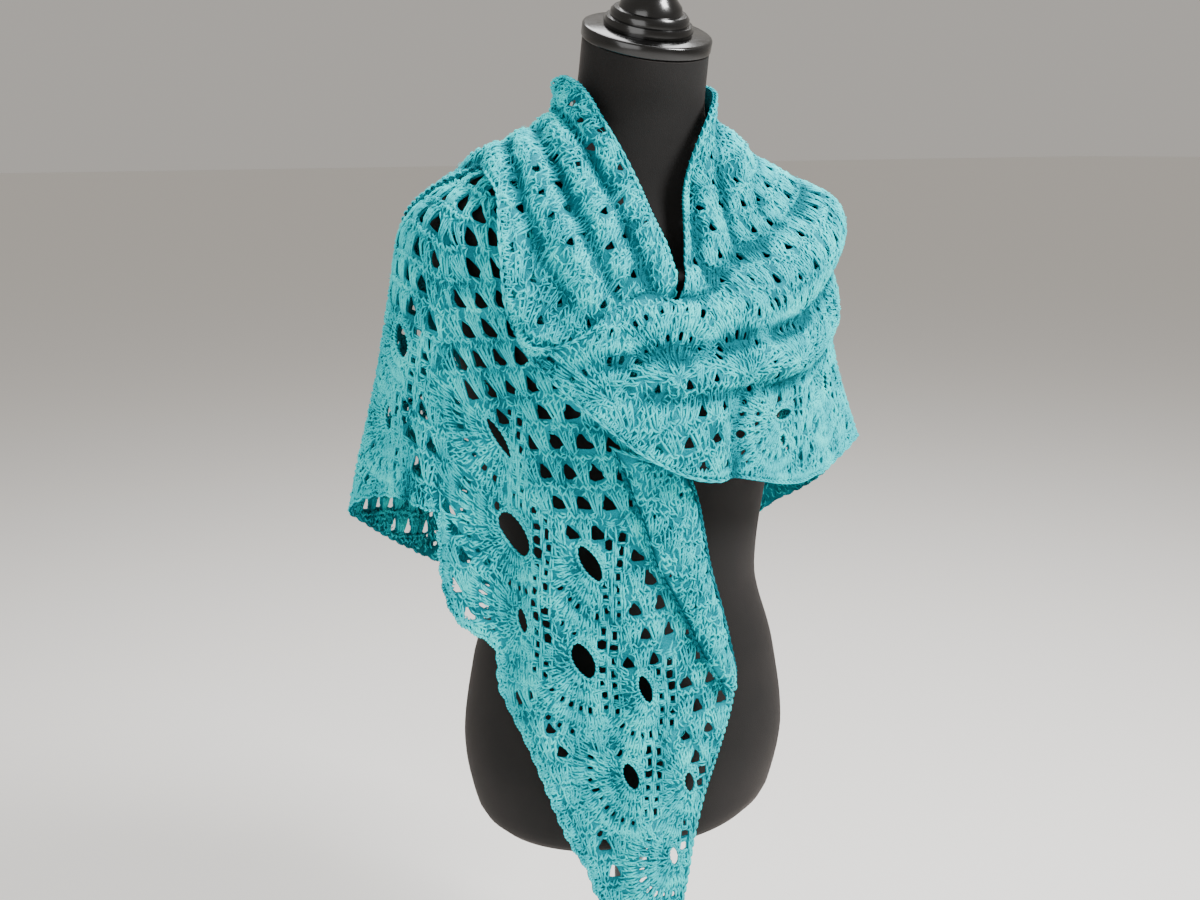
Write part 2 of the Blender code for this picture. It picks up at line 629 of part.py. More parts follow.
def turned_piece(name, profile, material, origin=(0, 0, 0), tilt=0.0):
    """Turned body: profile rows are height and radius, with the axis tilted toward the front."""
    rings = []
    for height, radius in profile:
        ring = []
        for k in range(ROUND_SEGMENTS):
            t = 2 * math.pi * k / ROUND_SEGMENTS
            x = radius * math.cos(t)
            y = radius * math.sin(t)
            ring.append((origin[0] + x,
                         origin[1] + y * math.cos(tilt) - height * math.sin(tilt),
                         origin[2] + y * math.sin(tilt) + height * math.cos(tilt)))
        rings.append(ring)
    return loft(name, rings, material)


def build_form_body(material):
    """Torso and neck. The neck's top slopes down toward the front."""
    levels = [FORM_SECTIONS[0][HEIGHT]]
    for lower, upper in zip(FORM_SECTIONS, FORM_SECTIONS[1:]):
        steps = max(1, round((upper[HEIGHT] - lower[HEIGHT]) / FORM_RING_SPACING))
        for k in range(1, steps + 1):
            levels.append(lower[HEIGHT] + (upper[HEIGHT] - lower[HEIGHT]) * k / steps)
    rings = []
    top = FORM_SECTIONS[-1][HEIGHT]
    for height in levels:
        ring = []
        lean = ramp(height, 1.030, top)
        for k in range(FORM_SEGMENTS):
            azimuth = 2 * math.pi * k / FORM_SEGMENTS
            radius = float(form_radius(azimuth, height))
            forward = -radius * math.cos(azimuth)
            ring.append((radius * math.sin(azimuth), float(centre_line(height)) + forward,
                         height + float(lean) * forward * math.tan(NECK_TILT)))
        rings.append(ring)
    return loft("dress_form_body", rings, material)


def neck_top_centre():
    return (0.0, FORM_SECTIONS[-1][CENTRE], FORM_SECTIONS[-1][HEIGHT])


def build_neck_cap(material):
    profile = (
        (SEAM_GAP, CAP_RADIUS - 0.0015),
        (SEAM_GAP + 0.0015, CAP_RADIUS),
        (SEAM_GAP + CAP_THICKNESS - 0.0020, CAP_RADIUS),
        (SEAM_GAP + CAP_THICKNESS, CAP_RADIUS - 0.0025),
    )
    return turned_piece("neck_cap", profile, material, neck_top_centre(), NECK_TILT)


def build_finial(material):
    """Stepped turned finial with a ball knob, standing on the neck cap."""
    floor = 2 * SEAM_GAP + CAP_THICKNESS
    steps = (
        (0.000, 0.0395), (0.004, 0.0400), (0.008, 0.0385), (0.0085, 0.0350), (0.013, 0.0350),
        (0.016, 0.0325), (0.0165, 0.0285), (0.022, 0.0270), (0.028, 0.0215), (0.034, 0.0170),
        (0.039, 0.0160), (0.043, 0.0185), (0.046, 0.0215), (0.050, 0.0190), (0.053, 0.0150),
    )
    knob_radius = 0.024
    knob_centre = 0.0695
    knob = []
    for k in range(9):
        t = math.radians(-48 + k * 134 / 8)
        knob.append((knob_centre + knob_radius * math.sin(t), knob_radius * math.cos(t)))
    profile = [(floor + height, radius) for height, radius in (*steps, *knob)]
    return turned_piece("neck_finial", profile, material, neck_top_centre(), NECK_TILT)


def build_stand(metal, black):
    """Round base plate, pole and the socket that the form sits on."""
    plate = (
        (0.000, BASE_RADIUS - 0.002),
        (0.002, BASE_RADIUS),
        (0.006, BASE_RADIUS),
        (0.010, BASE_RADIUS - 0.006),
        (0.014, BASE_RADIUS * 0.55),
        (BASE_THICKNESS, POLE_RADIUS * 1.8),
    )
    turned_piece("stand_base", plate, metal)
    bottom = BASE_THICKNESS + SEAM_GAP
    socket_bottom = PAN_Z - SEAM_GAP - SOCKET_HEIGHT
    turned_piece("stand_pole", ((bottom, POLE_RADIUS), (socket_bottom - SEAM_GAP, POLE_RADIUS)), metal)
    socket = (
        (socket_bottom, 0.017),
        (socket_bottom + 0.004, SOCKET_RADIUS - 0.004),
        (socket_bottom + 0.030, SOCKET_RADIUS - 0.004),
        (socket_bottom + 0.038, SOCKET_RADIUS),
        (socket_bottom + 0.046, 0.040),
        (PAN_Z - SEAM_GAP, 0.044),
    )
    turned_piece("stand_socket", socket, black)


def closed_line(*parts):
    """Join traced borders into one outline."""
    return [point for part in parts for point in part]


def joined_seam(line, side, spacing):
    """Traced seam on one side of its gap, with both ends kept by the neighbouring borders."""
    return shift_seam(trace(line, spacing), side)


def reverse(line):
    return tuple(reversed(line))


def build_shawl(material):
    wide = 0.024
    fine = 0.0130
    build_sheet("front_wing", closed_line(
        joined_seam(SEAM_WING_SIDE, 1, wide),
        shift_seam(trace(HEM_WING, wide)[:1], 1),
        trace(HEM_WING, wide)[1:],
        trace(EDGE_WING, wide),
        trace(WING_UNDER_COWL, wide)), EYES_WING, body_offset, 0.020, material)
    build_sheet("right_shoulder", closed_line(
        joined_seam([(a - 360, s) for a, s in SEAM_BACK_RIGHT], 1, wide),
        shift_seam(trace(HEM_SIDE, wide)[:1], 1),
        trace(HEM_SIDE, wide)[1:],
        shift_seam(trace(reverse(SEAM_WING_SIDE), wide), -1),
        shift_seam([SEAM_WING_SIDE[0]], -1),
        trace(RIGHT_UNDER_TAIL, wide)), EYES_SIDE, body_offset, wide, material)
    back_hem = HEM_BACK_LEFT + HEM_BACK_RIGHT[1:]
    build_sheet("back_panel", closed_line(
        joined_seam(SEAM_BACK_LEFT, 1, wide),
        shift_seam(trace(back_hem, wide)[:1], 1),
        trace(back_hem, wide)[1:],
        shift_seam(trace(reverse(SEAM_BACK_RIGHT), wide), -1),
        shift_seam([SEAM_BACK_RIGHT[0]], -1),
        trace(reverse(NECK_BACK), wide)[1:]), back_eyes(112, 232, back_hem), body_offset, wide, material)
    build_sheet("left_shoulder", closed_line(
        joined_seam(SEAM_COWL_LEFT, 1, fine),
        shift_seam(trace(HEM_LEFT, wide)[:1], 1),
        trace(HEM_LEFT, wide)[1:],
        shift_seam(trace(reverse(SEAM_BACK_LEFT), wide), -1),
        shift_seam([SEAM_BACK_LEFT[0]], -1),
        trace(reverse(NECK_LEFT), wide)[1:]), (), cowl_offset, 0.018, material)
    build_sheet("chest_cowl", closed_line(
        shift_seam(trace(reverse(SEAM_COWL_LEFT), fine), -1),
        shift_seam([SEAM_COWL_LEFT[0]], -1),
        trace(NECKLINE_LEFT, fine)[1:],
        trace(FLAP_EDGE, fine),
        trace(HEM_COWL, fine)), EYES_COWL, cowl_offset, fine, material)
    build_sheet("shoulder_pleats", closed_line(
        joined_seam(SEAM_TAIL, 1, fine),
        shift_seam([SEAM_TAIL[1]], 1),
        trace(HEM_PLEATS, fine)[1:],
        trace(PLEATS_UNDER_ROLL, fine),
        trace(NECKLINE_RIGHT, fine)), (), pleats_offset, 0.0105, material)
    build_sheet("shoulder_tail", closed_line(
        shift_seam(trace(reverse(SEAM_TAIL), fine), -1),
        shift_seam([SEAM_TAIL[0]], -1),
        trace(reverse(TAIL_OUTLINE)[1:], wide)), (), pleats_offset, 0.018, material)
    build_sheet("front_edge_roll", closed_line(
        trace(EDGE_ROLL_OUTER, 0.015),
        trace(EDGE_ROLL_INNER, 0.015)), (), edge_roll_offset, 0.014, material)


def main():
    clear_scene()
    velvet = make_material("black_velvet", (0.012, 0.011, 0.012), 0.9)
    gloss = make_material("black_gloss_plastic", (0.010, 0.010, 0.011), 0.25)
    steel = make_material("black_painted_steel", (0.015, 0.015, 0.016), 0.4)
    yarn = make_material("turquoise_crochet", (0.010, 0.540, 0.550), 0.8)
    build_form_body(velvet)
    build_neck_cap(gloss)
    build_finial(gloss)
    build_stand(steel, gloss)
    build_shawl(yarn)


main()
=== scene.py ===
import math

import bpy
import numpy as np
from mathutils import Matrix, Vector
from mathutils.geometry import delaunay_2d_cdt


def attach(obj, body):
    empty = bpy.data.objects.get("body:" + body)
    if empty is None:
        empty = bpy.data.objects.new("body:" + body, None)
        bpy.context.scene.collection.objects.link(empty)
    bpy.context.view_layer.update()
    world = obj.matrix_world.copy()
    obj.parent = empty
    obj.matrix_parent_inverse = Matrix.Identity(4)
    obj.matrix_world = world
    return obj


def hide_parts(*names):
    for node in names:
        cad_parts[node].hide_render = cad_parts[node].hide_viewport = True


# A crocheted triangular shawl on a velvet dress form. The cloth lies on one draping surface.
# A place on it is an angle, 0 at the front and +90 at the form's left, and a length in metres
# down from the neck. Angles run on past -180 round the back, so the whole hem is one line.

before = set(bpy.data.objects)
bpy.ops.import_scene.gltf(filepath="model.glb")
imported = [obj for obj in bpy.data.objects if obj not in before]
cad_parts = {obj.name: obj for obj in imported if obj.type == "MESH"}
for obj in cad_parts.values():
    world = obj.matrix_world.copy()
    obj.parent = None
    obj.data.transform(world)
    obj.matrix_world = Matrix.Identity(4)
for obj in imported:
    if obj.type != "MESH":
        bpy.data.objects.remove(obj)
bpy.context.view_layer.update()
print("frame loaded")

mm = 0.001
far = 1e9
rng = np.random.default_rng(11)


# Small helpers

def linear(hexText):
    values = []
    for k in (0, 2, 4):
        c = int(hexText[k:k + 2], 16) / 255
        values.append(c / 12.92 if c <= 0.04045 else ((c + 0.055) / 1.055) ** 2.4)
    return (*values, 1.0)


def addNode(material, kind, settings=None, links=None):
    node = material.node_tree.nodes.new(kind)
    for key, value in (settings or {}).items():
        if isinstance(key, int) or key in node.inputs:
            node.inputs[key].default_value = value
        else:
            setattr(node, key, value)
    for key, (source, output) in (links or {}).items():
        material.node_tree.links.new(source.outputs[output], node.inputs[key])
    return node


def addRamp(material, source, output, stops):
    node = addNode(material, "ShaderNodeValToRGB", {}, {"Fac": (source, output)})
    elements = node.color_ramp.elements
    while len(elements) < len(stops):
        elements.new(0.5)
    for element, (place, hexText) in zip(elements, stops):
        element.position = place
        element.color = linear(hexText)
    return node


def addNoise(material, where, grain, detail, distortion=0.0):
    settings = {"Scale": 1 / grain, "Detail": detail, "Distortion": distortion}
    return addNode(material, "ShaderNodeTexNoise", settings, {"Vector": (where, "Object")})


def addBump(material, height, strength, depth):
    return addNode(material, "ShaderNodeBump", {"Strength": strength, "Distance": depth},
                   {"Height": (height, "Fac")})


def setShader(material, shader, sources, values):
    for key, (source, output) in sources.items():
        material.node_tree.links.new(source.outputs[output], shader.inputs[key])
    for key, value in values.items():
        shader.inputs[key].default_value = value
    return material


def ramp(value, start, end):
    t = np.clip((np.asarray(value, dtype=float) - start) / (end - start), 0, 1)
    return t * t * (3 - 2 * t)


def wrapDegrees(value):
    return (np.asarray(value, dtype=float) + 180.0) % 360.0 - 180.0


# Materials

def newMaterial(name):
    material = bpy.data.materials.new(name)
    material.use_nodes = True
    return material, material.node_tree.nodes["Principled BSDF"]


# Wool-blend yarn, spun and brushed: matt, with a soft halo that lights up its turned edges.
yarnLook = {
    # the ramp runs from shadow on strand sides and in creases to light on strand tops: painted shade and
    # painted highlight, with the random dye moving tones a little
    "shadow": "00646f", "deep": "00a0ac", "mid": "00c8d2", "light": "30fbf6",
    # the sheet under the stitches is yarn painted darker: painted shade between the strands
    "ground": "0094a2", "groundPaintedShade": "006874",
    "sheenTint": "40fff8", "sheen": 0.04, "sheenRoughness": 0.45, "specular": 0.12,
    "roughness": 0.9, "ior": 1.53,
    "plyPitch": 1.6 * mm,     # twist of the plies, as coarse as the render can show
    "fibreGrain": 1.1 * mm,
    "dyePatch": 26 * mm,      # slow drift of the dyed colour along the yarn
    "paintedHighlightShare": 0.62,       # painted highlight: a strand is paler along its top
}


def makeYarn(name, stops, bumpDepth):
    material, shader = newMaterial(name)
    where = addNode(material, "ShaderNodeTexCoord")
    dye = addNoise(material, where, yarnLook["dyePatch"], 2.0)
    grain = addNoise(material, where, yarnLook["fibreGrain"], 3.0)
    # the crown attribute carries painted light: a painted highlight along strand tops and painted shade in
    # creases
    top = addNode(material, "ShaderNodeAttribute", {"attribute_name": "crown"})
    mixed = addNode(material, "ShaderNodeMath", {"operation": "MULTIPLY_ADD", 1: 0.5},
                    {0: (grain, "Fac"), 2: (dye, "Fac")})
    toneWithPaintedLight = addNode(material, "ShaderNodeMath", {"operation": "MULTIPLY_ADD", 1: yarnLook["paintedHighlightShare"]},
                     {0: (top, "Fac"), 2: (mixed, "Value")})
    scaled = addNode(material, "ShaderNodeMath", {"operation": "MULTIPLY", 1: 0.6}, {0: (toneWithPaintedLight, "Value")})
    colour = addRamp(material, scaled, "Value", stops)
    ply = addNoise(material, where, yarnLook["plyPitch"], 2.0, 0.6)
    bump = addBump(material, ply, 0.8, bumpDepth)
    return setShader(material, shader, {"Base Color": (colour, "Color"), "Normal": (bump, "Normal")}, {
        "Roughness": yarnLook["roughness"], "IOR": yarnLook["ior"],
        "Specular IOR Level": yarnLook["specular"], "Sheen Weight": yarnLook["sheen"],
        "Sheen Roughness": yarnLook["sheenRoughness"], "Sheen Tint": linear(yarnLook["sheenTint"])})


# Short-pile velvet over a padded shell: almost black face on, greyer where it turns away.
velvetLook = {
    "pile": "0b0a09", "worn": "141110", "sheenTint": "7d6f69", "sheen": 0.36, "sheenRoughness": 0.35,
    "roughness": 0.95, "ior": 1.5, "pileGrain": 0.8 * mm, "pileDepth": 0.4 * mm, "brushedPatch": 60 * mm,
}


def makeVelvet():
    material, shader = newMaterial("velvetShortPile")
    where = addNode(material, "ShaderNodeTexCoord")
    patch = addNoise(material, where, velvetLook["brushedPatch"], 4.0)
    colour = addRamp(material, patch, "Fac", ((0.35, velvetLook["pile"]), (0.70, velvetLook["worn"])))
    pile = addNoise(material, where, velvetLook["pileGrain"], 2.0)
    bump = addBump(material, pile, 0.5, velvetLook["pileDepth"])
    return setShader(material, shader, {"Base Color": (colour, "Color"), "Normal": (bump, "Normal")}, {
        "Roughness": velvetLook["roughness"], "IOR": velvetLook["ior"], "Sheen Weight": velvetLook["sheen"],
        "Sheen Roughness": velvetLook["sheenRoughness"], "Sheen Tint": linear(velvetLook["sheenTint"])})


# Turned wood under gloss lacquer, and steel under satin powder coat: fine handling marks
# change the gloss a little, and the powder coat has a faint orange peel.
hardLooks = {
    "glossLacquer": {"base": "050505", "dull": "0a0a0b", "roughness": (0.14, 0.30), "peel": 6 * mm,
                     "depth": 0.03 * mm, "coat": 0.2},
    "satinPowderCoat": {"base": "101011", "dull": "1a1a1b", "roughness": (0.34, 0.50), "peel": 1.5 * mm,
                        "depth": 0.06 * mm, "coat": 0.0},
}


markPatch = 1 / 60     # handling marks come about 17 mm apart


def makeHard(name):
    look = hardLooks[name]
    material, shader = newMaterial(name)
    where = addNode(material, "ShaderNodeTexCoord")
    marks = addNoise(material, where, markPatch, 6.0)
    colour = addRamp(material, marks, "Fac", ((0.40, look["base"]), (0.75, look["dull"])))
    smooth, rough = look["roughness"]
    gloss = addNode(material, "ShaderNodeMapRange", {"To Min": smooth, "To Max": rough},
                    {"Value": (marks, "Fac")})
    bump = addBump(material, addNoise(material, where, look["peel"], 1.0), 0.5, look["depth"])
    return setShader(material, shader, {"Base Color": (colour, "Color"), "Roughness": (gloss, "Result"),
                                        "Normal": (bump, "Normal")},
                     {"Coat Weight": look["coat"], "Coat Roughness": 0.08})


yarn = makeYarn("yarnSpunWoolBlend", ((0.40, yarnLook["shadow"]), (0.50, yarnLook["deep"]),
                                      (0.66, yarnLook["mid"]), (0.88, yarnLook["light"])), 0.5 * mm)
# the sheet between the stitches: darker yarn as painted shade between strands, darkest with painted crease
# shade
yarnWithPaintedShade = makeYarn("yarnPaintedShadeBetweenStitches", ((0.36, yarnLook["groundPaintedShade"]), (0.54, yarnLook["ground"])),
                      1.2 * mm)
velvet = makeVelvet()
lacquer = makeHard("glossLacquer")
powderCoat = makeHard("satinPowderCoat")
print("materials made")


# The form and the draping surface, from the same sections as the solids

formShape = {
    # height, half width, depth in front, depth behind, squareness, centre line's Y
    "sections": (
        (0.336, 0.100, 0.070, 0.080, 2.0, 0.000), (0.345, 0.138, 0.105, 0.114, 2.0, 0.000),
        (0.370, 0.157, 0.120, 0.130, 2.0, 0.000), (0.430, 0.166, 0.126, 0.138, 2.1, 0.000),
        (0.510, 0.156, 0.116, 0.124, 2.1, 0.000), (0.595, 0.136, 0.099, 0.098, 2.0, -0.002),
        (0.700, 0.146, 0.112, 0.102, 2.0, -0.004), (0.805, 0.160, 0.142, 0.112, 2.2, -0.004),
        (0.880, 0.178, 0.116, 0.114, 2.4, -0.004), (0.940, 0.190, 0.082, 0.100, 2.6, -0.004),
        (0.968, 0.168, 0.066, 0.085, 2.4, -0.010), (0.996, 0.100, 0.060, 0.072, 2.1, -0.018),
        (1.022, 0.066, 0.058, 0.062, 2.0, -0.026), (1.055, 0.0575, 0.0570, 0.0570, 2.0, -0.037),
        (1.093, 0.0560, 0.0560, 0.0560, 2.0, -0.046)),
    "neckTilt": math.radians(20), "neckLeanStart": 1.030, "sides": 96, "ringSpacing": 0.010,
}
formRows = np.array(formShape["sections"])
panHeight = formRows[0, 0]
neckTop = formRows[-1, 0]

drape = {
    # angle, stand-off at the shoulder, stand-off at the bust, flare per metre of drop
    "standOff": (
        (-180, 0.008, 0.010, 0.10), (-140, 0.014, 0.014, 0.16), (-105, 0.020, 0.026, 0.18),
        (-85, 0.018, 0.022, 0.12), (-62, 0.004, 0.003, 0.02), (-30, 0.000, 0.000, 0.00),
        (30, 0.000, 0.000, 0.00), (55, 0.010, 0.002, 0.04), (77, 0.016, 0.002, 0.20),
        (105, 0.016, 0.012, 0.22), (140, 0.014, 0.014, 0.16), (180, 0.008, 0.010, 0.10)),
    "slopeLevel": 0.966, "shoulderLevel": 0.925, "bustLevel": 0.83, "flareStart": 0.10,
    "neckLevel": 1.085, "lowestLevel": 0.20, "angleStep": 3.0, "levelStep": 0.004, "lengthStep": 0.005,
    "firstLength": 0.002, "lastLength": 0.9,
}


def smoothTable(column, place):
    xs = formRows[:, 0]
    ys = formRows[:, column]
    span = np.diff(xs)
    slope = np.diff(ys) / span
    tangent = np.zeros_like(ys)
    tangent[0], tangent[-1] = slope[0], slope[-1]
    for i in range(1, len(xs) - 1):
        if slope[i - 1] * slope[i] > 0:
            near = 2 * span[i] + span[i - 1]
            far = span[i] + 2 * span[i - 1]
            tangent[i] = (near + far) / (near / slope[i - 1] + far / slope[i])
    i = np.clip(np.searchsorted(xs, place) - 1, 0, len(xs) - 2)
    t = np.clip((place - xs[i]) / span[i], 0.0, 1.0)
    rise = t * t * (3 - 2 * t)
    bend = t * (1 - t) ** 2 * span[i] * tangent[i] - t * t * (1 - t) * span[i] * tangent[i + 1]
    return ys[i] * (1 - rise) + ys[i + 1] * rise + bend


def formRadius(azimuth, height):
    half, front, back, square = [smoothTable(k, height) for k in (1, 2, 3, 4)]
    side = np.abs(np.sin(azimuth) / half)
    depth = np.abs(np.cos(azimuth)) / np.where(np.cos(azimuth) > 0, front, back)
    return (side ** square + depth ** square) ** (-1.0 / square)


def blur(values, reach, axis, wrap=False):
    weight = np.hanning(2 * reach + 3)[1:-1]
    weight = weight / weight.sum()
    pad = [(0, 0)] * values.ndim
    pad[axis] = (reach, reach)
    if wrap:
        padded = np.pad(values, pad, mode="wrap")
    else:
        padded = np.pad(values, pad, mode="reflect", reflect_type="odd")
    return np.apply_along_axis(lambda line: np.convolve(line, weight, "valid"), axis, padded)


def drapingSurface():
    degrees = np.arange(-180.0, 180.0, drape["angleStep"])
    azimuths = np.radians(degrees)
    heights = np.arange(drape["neckLevel"], drape["lowestLevel"], -drape["levelStep"])
    skin = np.stack([formRadius(a, np.maximum(heights, panHeight + 0.004)) for a in azimuths])
    rows = np.array(drape["standOff"], dtype=float)
    high, low, flare = [np.interp(degrees, rows[:, 0], rows[:, k])[:, None] for k in (1, 2, 3)]
    shoulder = drape["shoulderLevel"]
    fromNeck = np.clip((drape["slopeLevel"] - heights) / (drape["slopeLevel"] - shoulder), 0, 1)[None, :]
    toBust = np.clip((shoulder - heights) / (shoulder - drape["bustLevel"]), 0, 1)[None, :]
    drop = np.clip(shoulder - heights, 0, None)[None, :]
    away = fromNeck * (high + (low - high) * toBust)
    away = away + flare * drop ** 1.5 / (drop + drape["flareStart"]) ** 0.5
    radius = blur(np.maximum.accumulate(skin, axis=1), 3, 0, wrap=True)
    radius = blur(np.maximum(radius + away, skin), 5, 1)
    middle = blur(smoothTable(5, heights)[None, :], 5, 1)[0]
    place = np.stack([radius * np.sin(azimuths)[:, None],
                      middle[None, :] - radius * np.cos(azimuths)[:, None],
                      np.broadcast_to(heights, radius.shape)], axis=-1)
    steps = np.linalg.norm(np.diff(place, axis=1), axis=2)
    length = np.concatenate([np.zeros((len(azimuths), 1)), np.cumsum(steps, axis=1)], axis=1)
    even = np.arange(0.0, length[:, -1].min(), drape["lengthStep"])
    grid = np.stack([np.stack([np.interp(even, length[i], place[i, :, k]) for k in range(3)], axis=-1)
                     for i in range(len(azimuths))])
    around = np.roll(grid, -1, 0) - np.roll(grid, 1, 0)
    normal = np.cross(np.gradient(grid, axis=1), around)
    for _ in range(2):
        normal = blur(blur(normal, 2, 0, wrap=True), 4, 1)
    normal = normal / np.linalg.norm(normal, axis=2, keepdims=True)
    scale = np.linalg.norm(around, axis=2)[..., None] / (2 * drape["angleStep"])
    return grid, normal, scale


surface, normals, scales = drapingSurface()


def readGrid(grid, degrees, length):
    column = (np.asarray(degrees, dtype=float) + 180.0) / drape["angleStep"]
    row = np.clip(np.asarray(length, dtype=float) / drape["lengthStep"], 0, grid.shape[1] - 1.001)
    i = np.floor(column).astype(int)
    j = np.floor(row).astype(int)
    u = (column - i)[..., None]
    v = (row - j)[..., None]
    here = i % grid.shape[0]
    after = (i + 1) % grid.shape[0]
    first = grid[here, j] * (1 - v) + grid[here, j + 1] * v
    second = grid[after, j] * (1 - v) + grid[after, j + 1] * v
    return first * (1 - u) + second * u


def heightsOver(low, high):
    # how high above the floor the draping surface lies, by angle and distance from the neck
    angles = np.linspace(low, high, 160)
    lengths = np.arange(drape["firstLength"], drape["lastLength"] + 0.05, drape["lengthStep"])
    return angles, lengths, readGrid(surface, *np.meshgrid(angles, lengths, indexing="ij"))[..., 2]


def scaleAt(degrees, length):
    return np.maximum(readGrid(scales, degrees, length)[..., 0], 0.0008)


def normalAt(degrees, length):
    normal = readGrid(normals, degrees, length)
    return normal / np.linalg.norm(normal, axis=-1, keepdims=True)


def placeAt(degrees, length, offset):
    return readGrid(surface, degrees, length) + normalAt(degrees, length) * np.asarray(offset)[..., None]


print("draping surface made")


# Ripples, folds and layers, from the same rows as the solids

folds = {
    # angle, half width, height, start
    "ripples": (
        (-100, 12, 0.012, 0.34), (-79, 4, 0.010, 0.35), (-52, 12, 0.006, 0.30), (-22, 10, 0.005, 0.40),
        (80, 14, 0.016, 0.34), (-136, 11, 0.014, 0.22), (-164, 10, 0.010, 0.16), (167, 10, 0.012, 0.16),
        (139, 11, 0.014, 0.20), (112, 9, 0.012, 0.26)),
    "rippleRamp": 0.16,
    "spread": 1.25,
    # angle, length, height, reach toward the hem, reach toward the neck
    "cowl": (
        ((96, 0.215, 0.000, 0.030, 0.030), (76, 0.218, 0.016, 0.030, 0.030),
         (50, 0.224, 0.022, 0.030, 0.036), (22, 0.240, 0.023, 0.028, 0.030),
         (2, 0.248, 0.022, 0.028, 0.022), (-12, 0.242, 0.019, 0.034, 0.016),
         (-24, 0.238, 0.017, 0.044, 0.016), (-36, 0.256, 0.014, 0.034, 0.014),
         (-50, 0.274, 0.008, 0.020, 0.012)),
        ((88, 0.300, 0.000, 0.018, 0.030), (68, 0.298, 0.014, 0.018, 0.030),
         (44, 0.290, 0.016, 0.017, 0.028), (20, 0.286, 0.016, 0.016, 0.026),
         (-10, 0.296, 0.014, 0.016, 0.026), (-34, 0.288, 0.008, 0.014, 0.020),
         (-44, 0.284, 0.000, 0.012, 0.016)),
        ((34, 0.055, 0.006, 0.016, 0.012), (29, 0.090, 0.010, 0.018, 0.013),
         (26, 0.135, 0.011, 0.018, 0.014), (20, 0.172, 0.009, 0.018, 0.014),
         (10, 0.205, 0.003, 0.014, 0.014)),
        ((100, 0.085, 0.000, 0.022, 0.022), (72, 0.092, 0.008, 0.024, 0.024),
         (52, 0.108, 0.011, 0.024, 0.024), (40, 0.150, 0.007, 0.020, 0.020),
         (34, 0.185, 0.000, 0.018, 0.018))),
    "pleats": (
        ((-120, 0.060, 0.000, 0.016, 0.020), (-84, 0.046, 0.012, 0.015, 0.020),
         (-62, 0.062, 0.013, 0.015, 0.022), (-45, 0.094, 0.014, 0.015, 0.024),
         (-28, 0.140, 0.014, 0.016, 0.024), (-16, 0.186, 0.013, 0.016, 0.020),
         (-10, 0.218, 0.006, 0.014, 0.016)),
        ((-125, 0.100, 0.000, 0.014, 0.016), (-84, 0.078, 0.012, 0.013, 0.016),
         (-62, 0.106, 0.013, 0.013, 0.018), (-42, 0.152, 0.014, 0.012, 0.018),
         (-32, 0.200, 0.012, 0.012, 0.018), (-26, 0.224, 0.004, 0.010, 0.014)),
        ((-130, 0.140, 0.000, 0.015, 0.015), (-88, 0.108, 0.012, 0.015, 0.015),
         (-66, 0.140, 0.014, 0.016, 0.016), (-48, 0.190, 0.014, 0.018, 0.014),
         (-37, 0.226, 0.008, 0.018, 0.012)),
        ((-128, 0.185, 0.000, 0.014, 0.016), (-88, 0.138, 0.012, 0.012, 0.015),
         (-76, 0.156, 0.011, 0.011, 0.018), (-67, 0.190, 0.010, 0.011, 0.022),
         (-62, 0.235, 0.010, 0.012, 0.024), (-53, 0.266, 0.008, 0.013, 0.020))),
    "neckRoll": 0.009, "neckRollReach": 0.020,
    "body": 0.0057, "layer": 0.0054, "pleatStep": 0.0070, "edgeRoll": 0.009, "edgeGap": 0.0009,
    "cloth": 0.003,
}

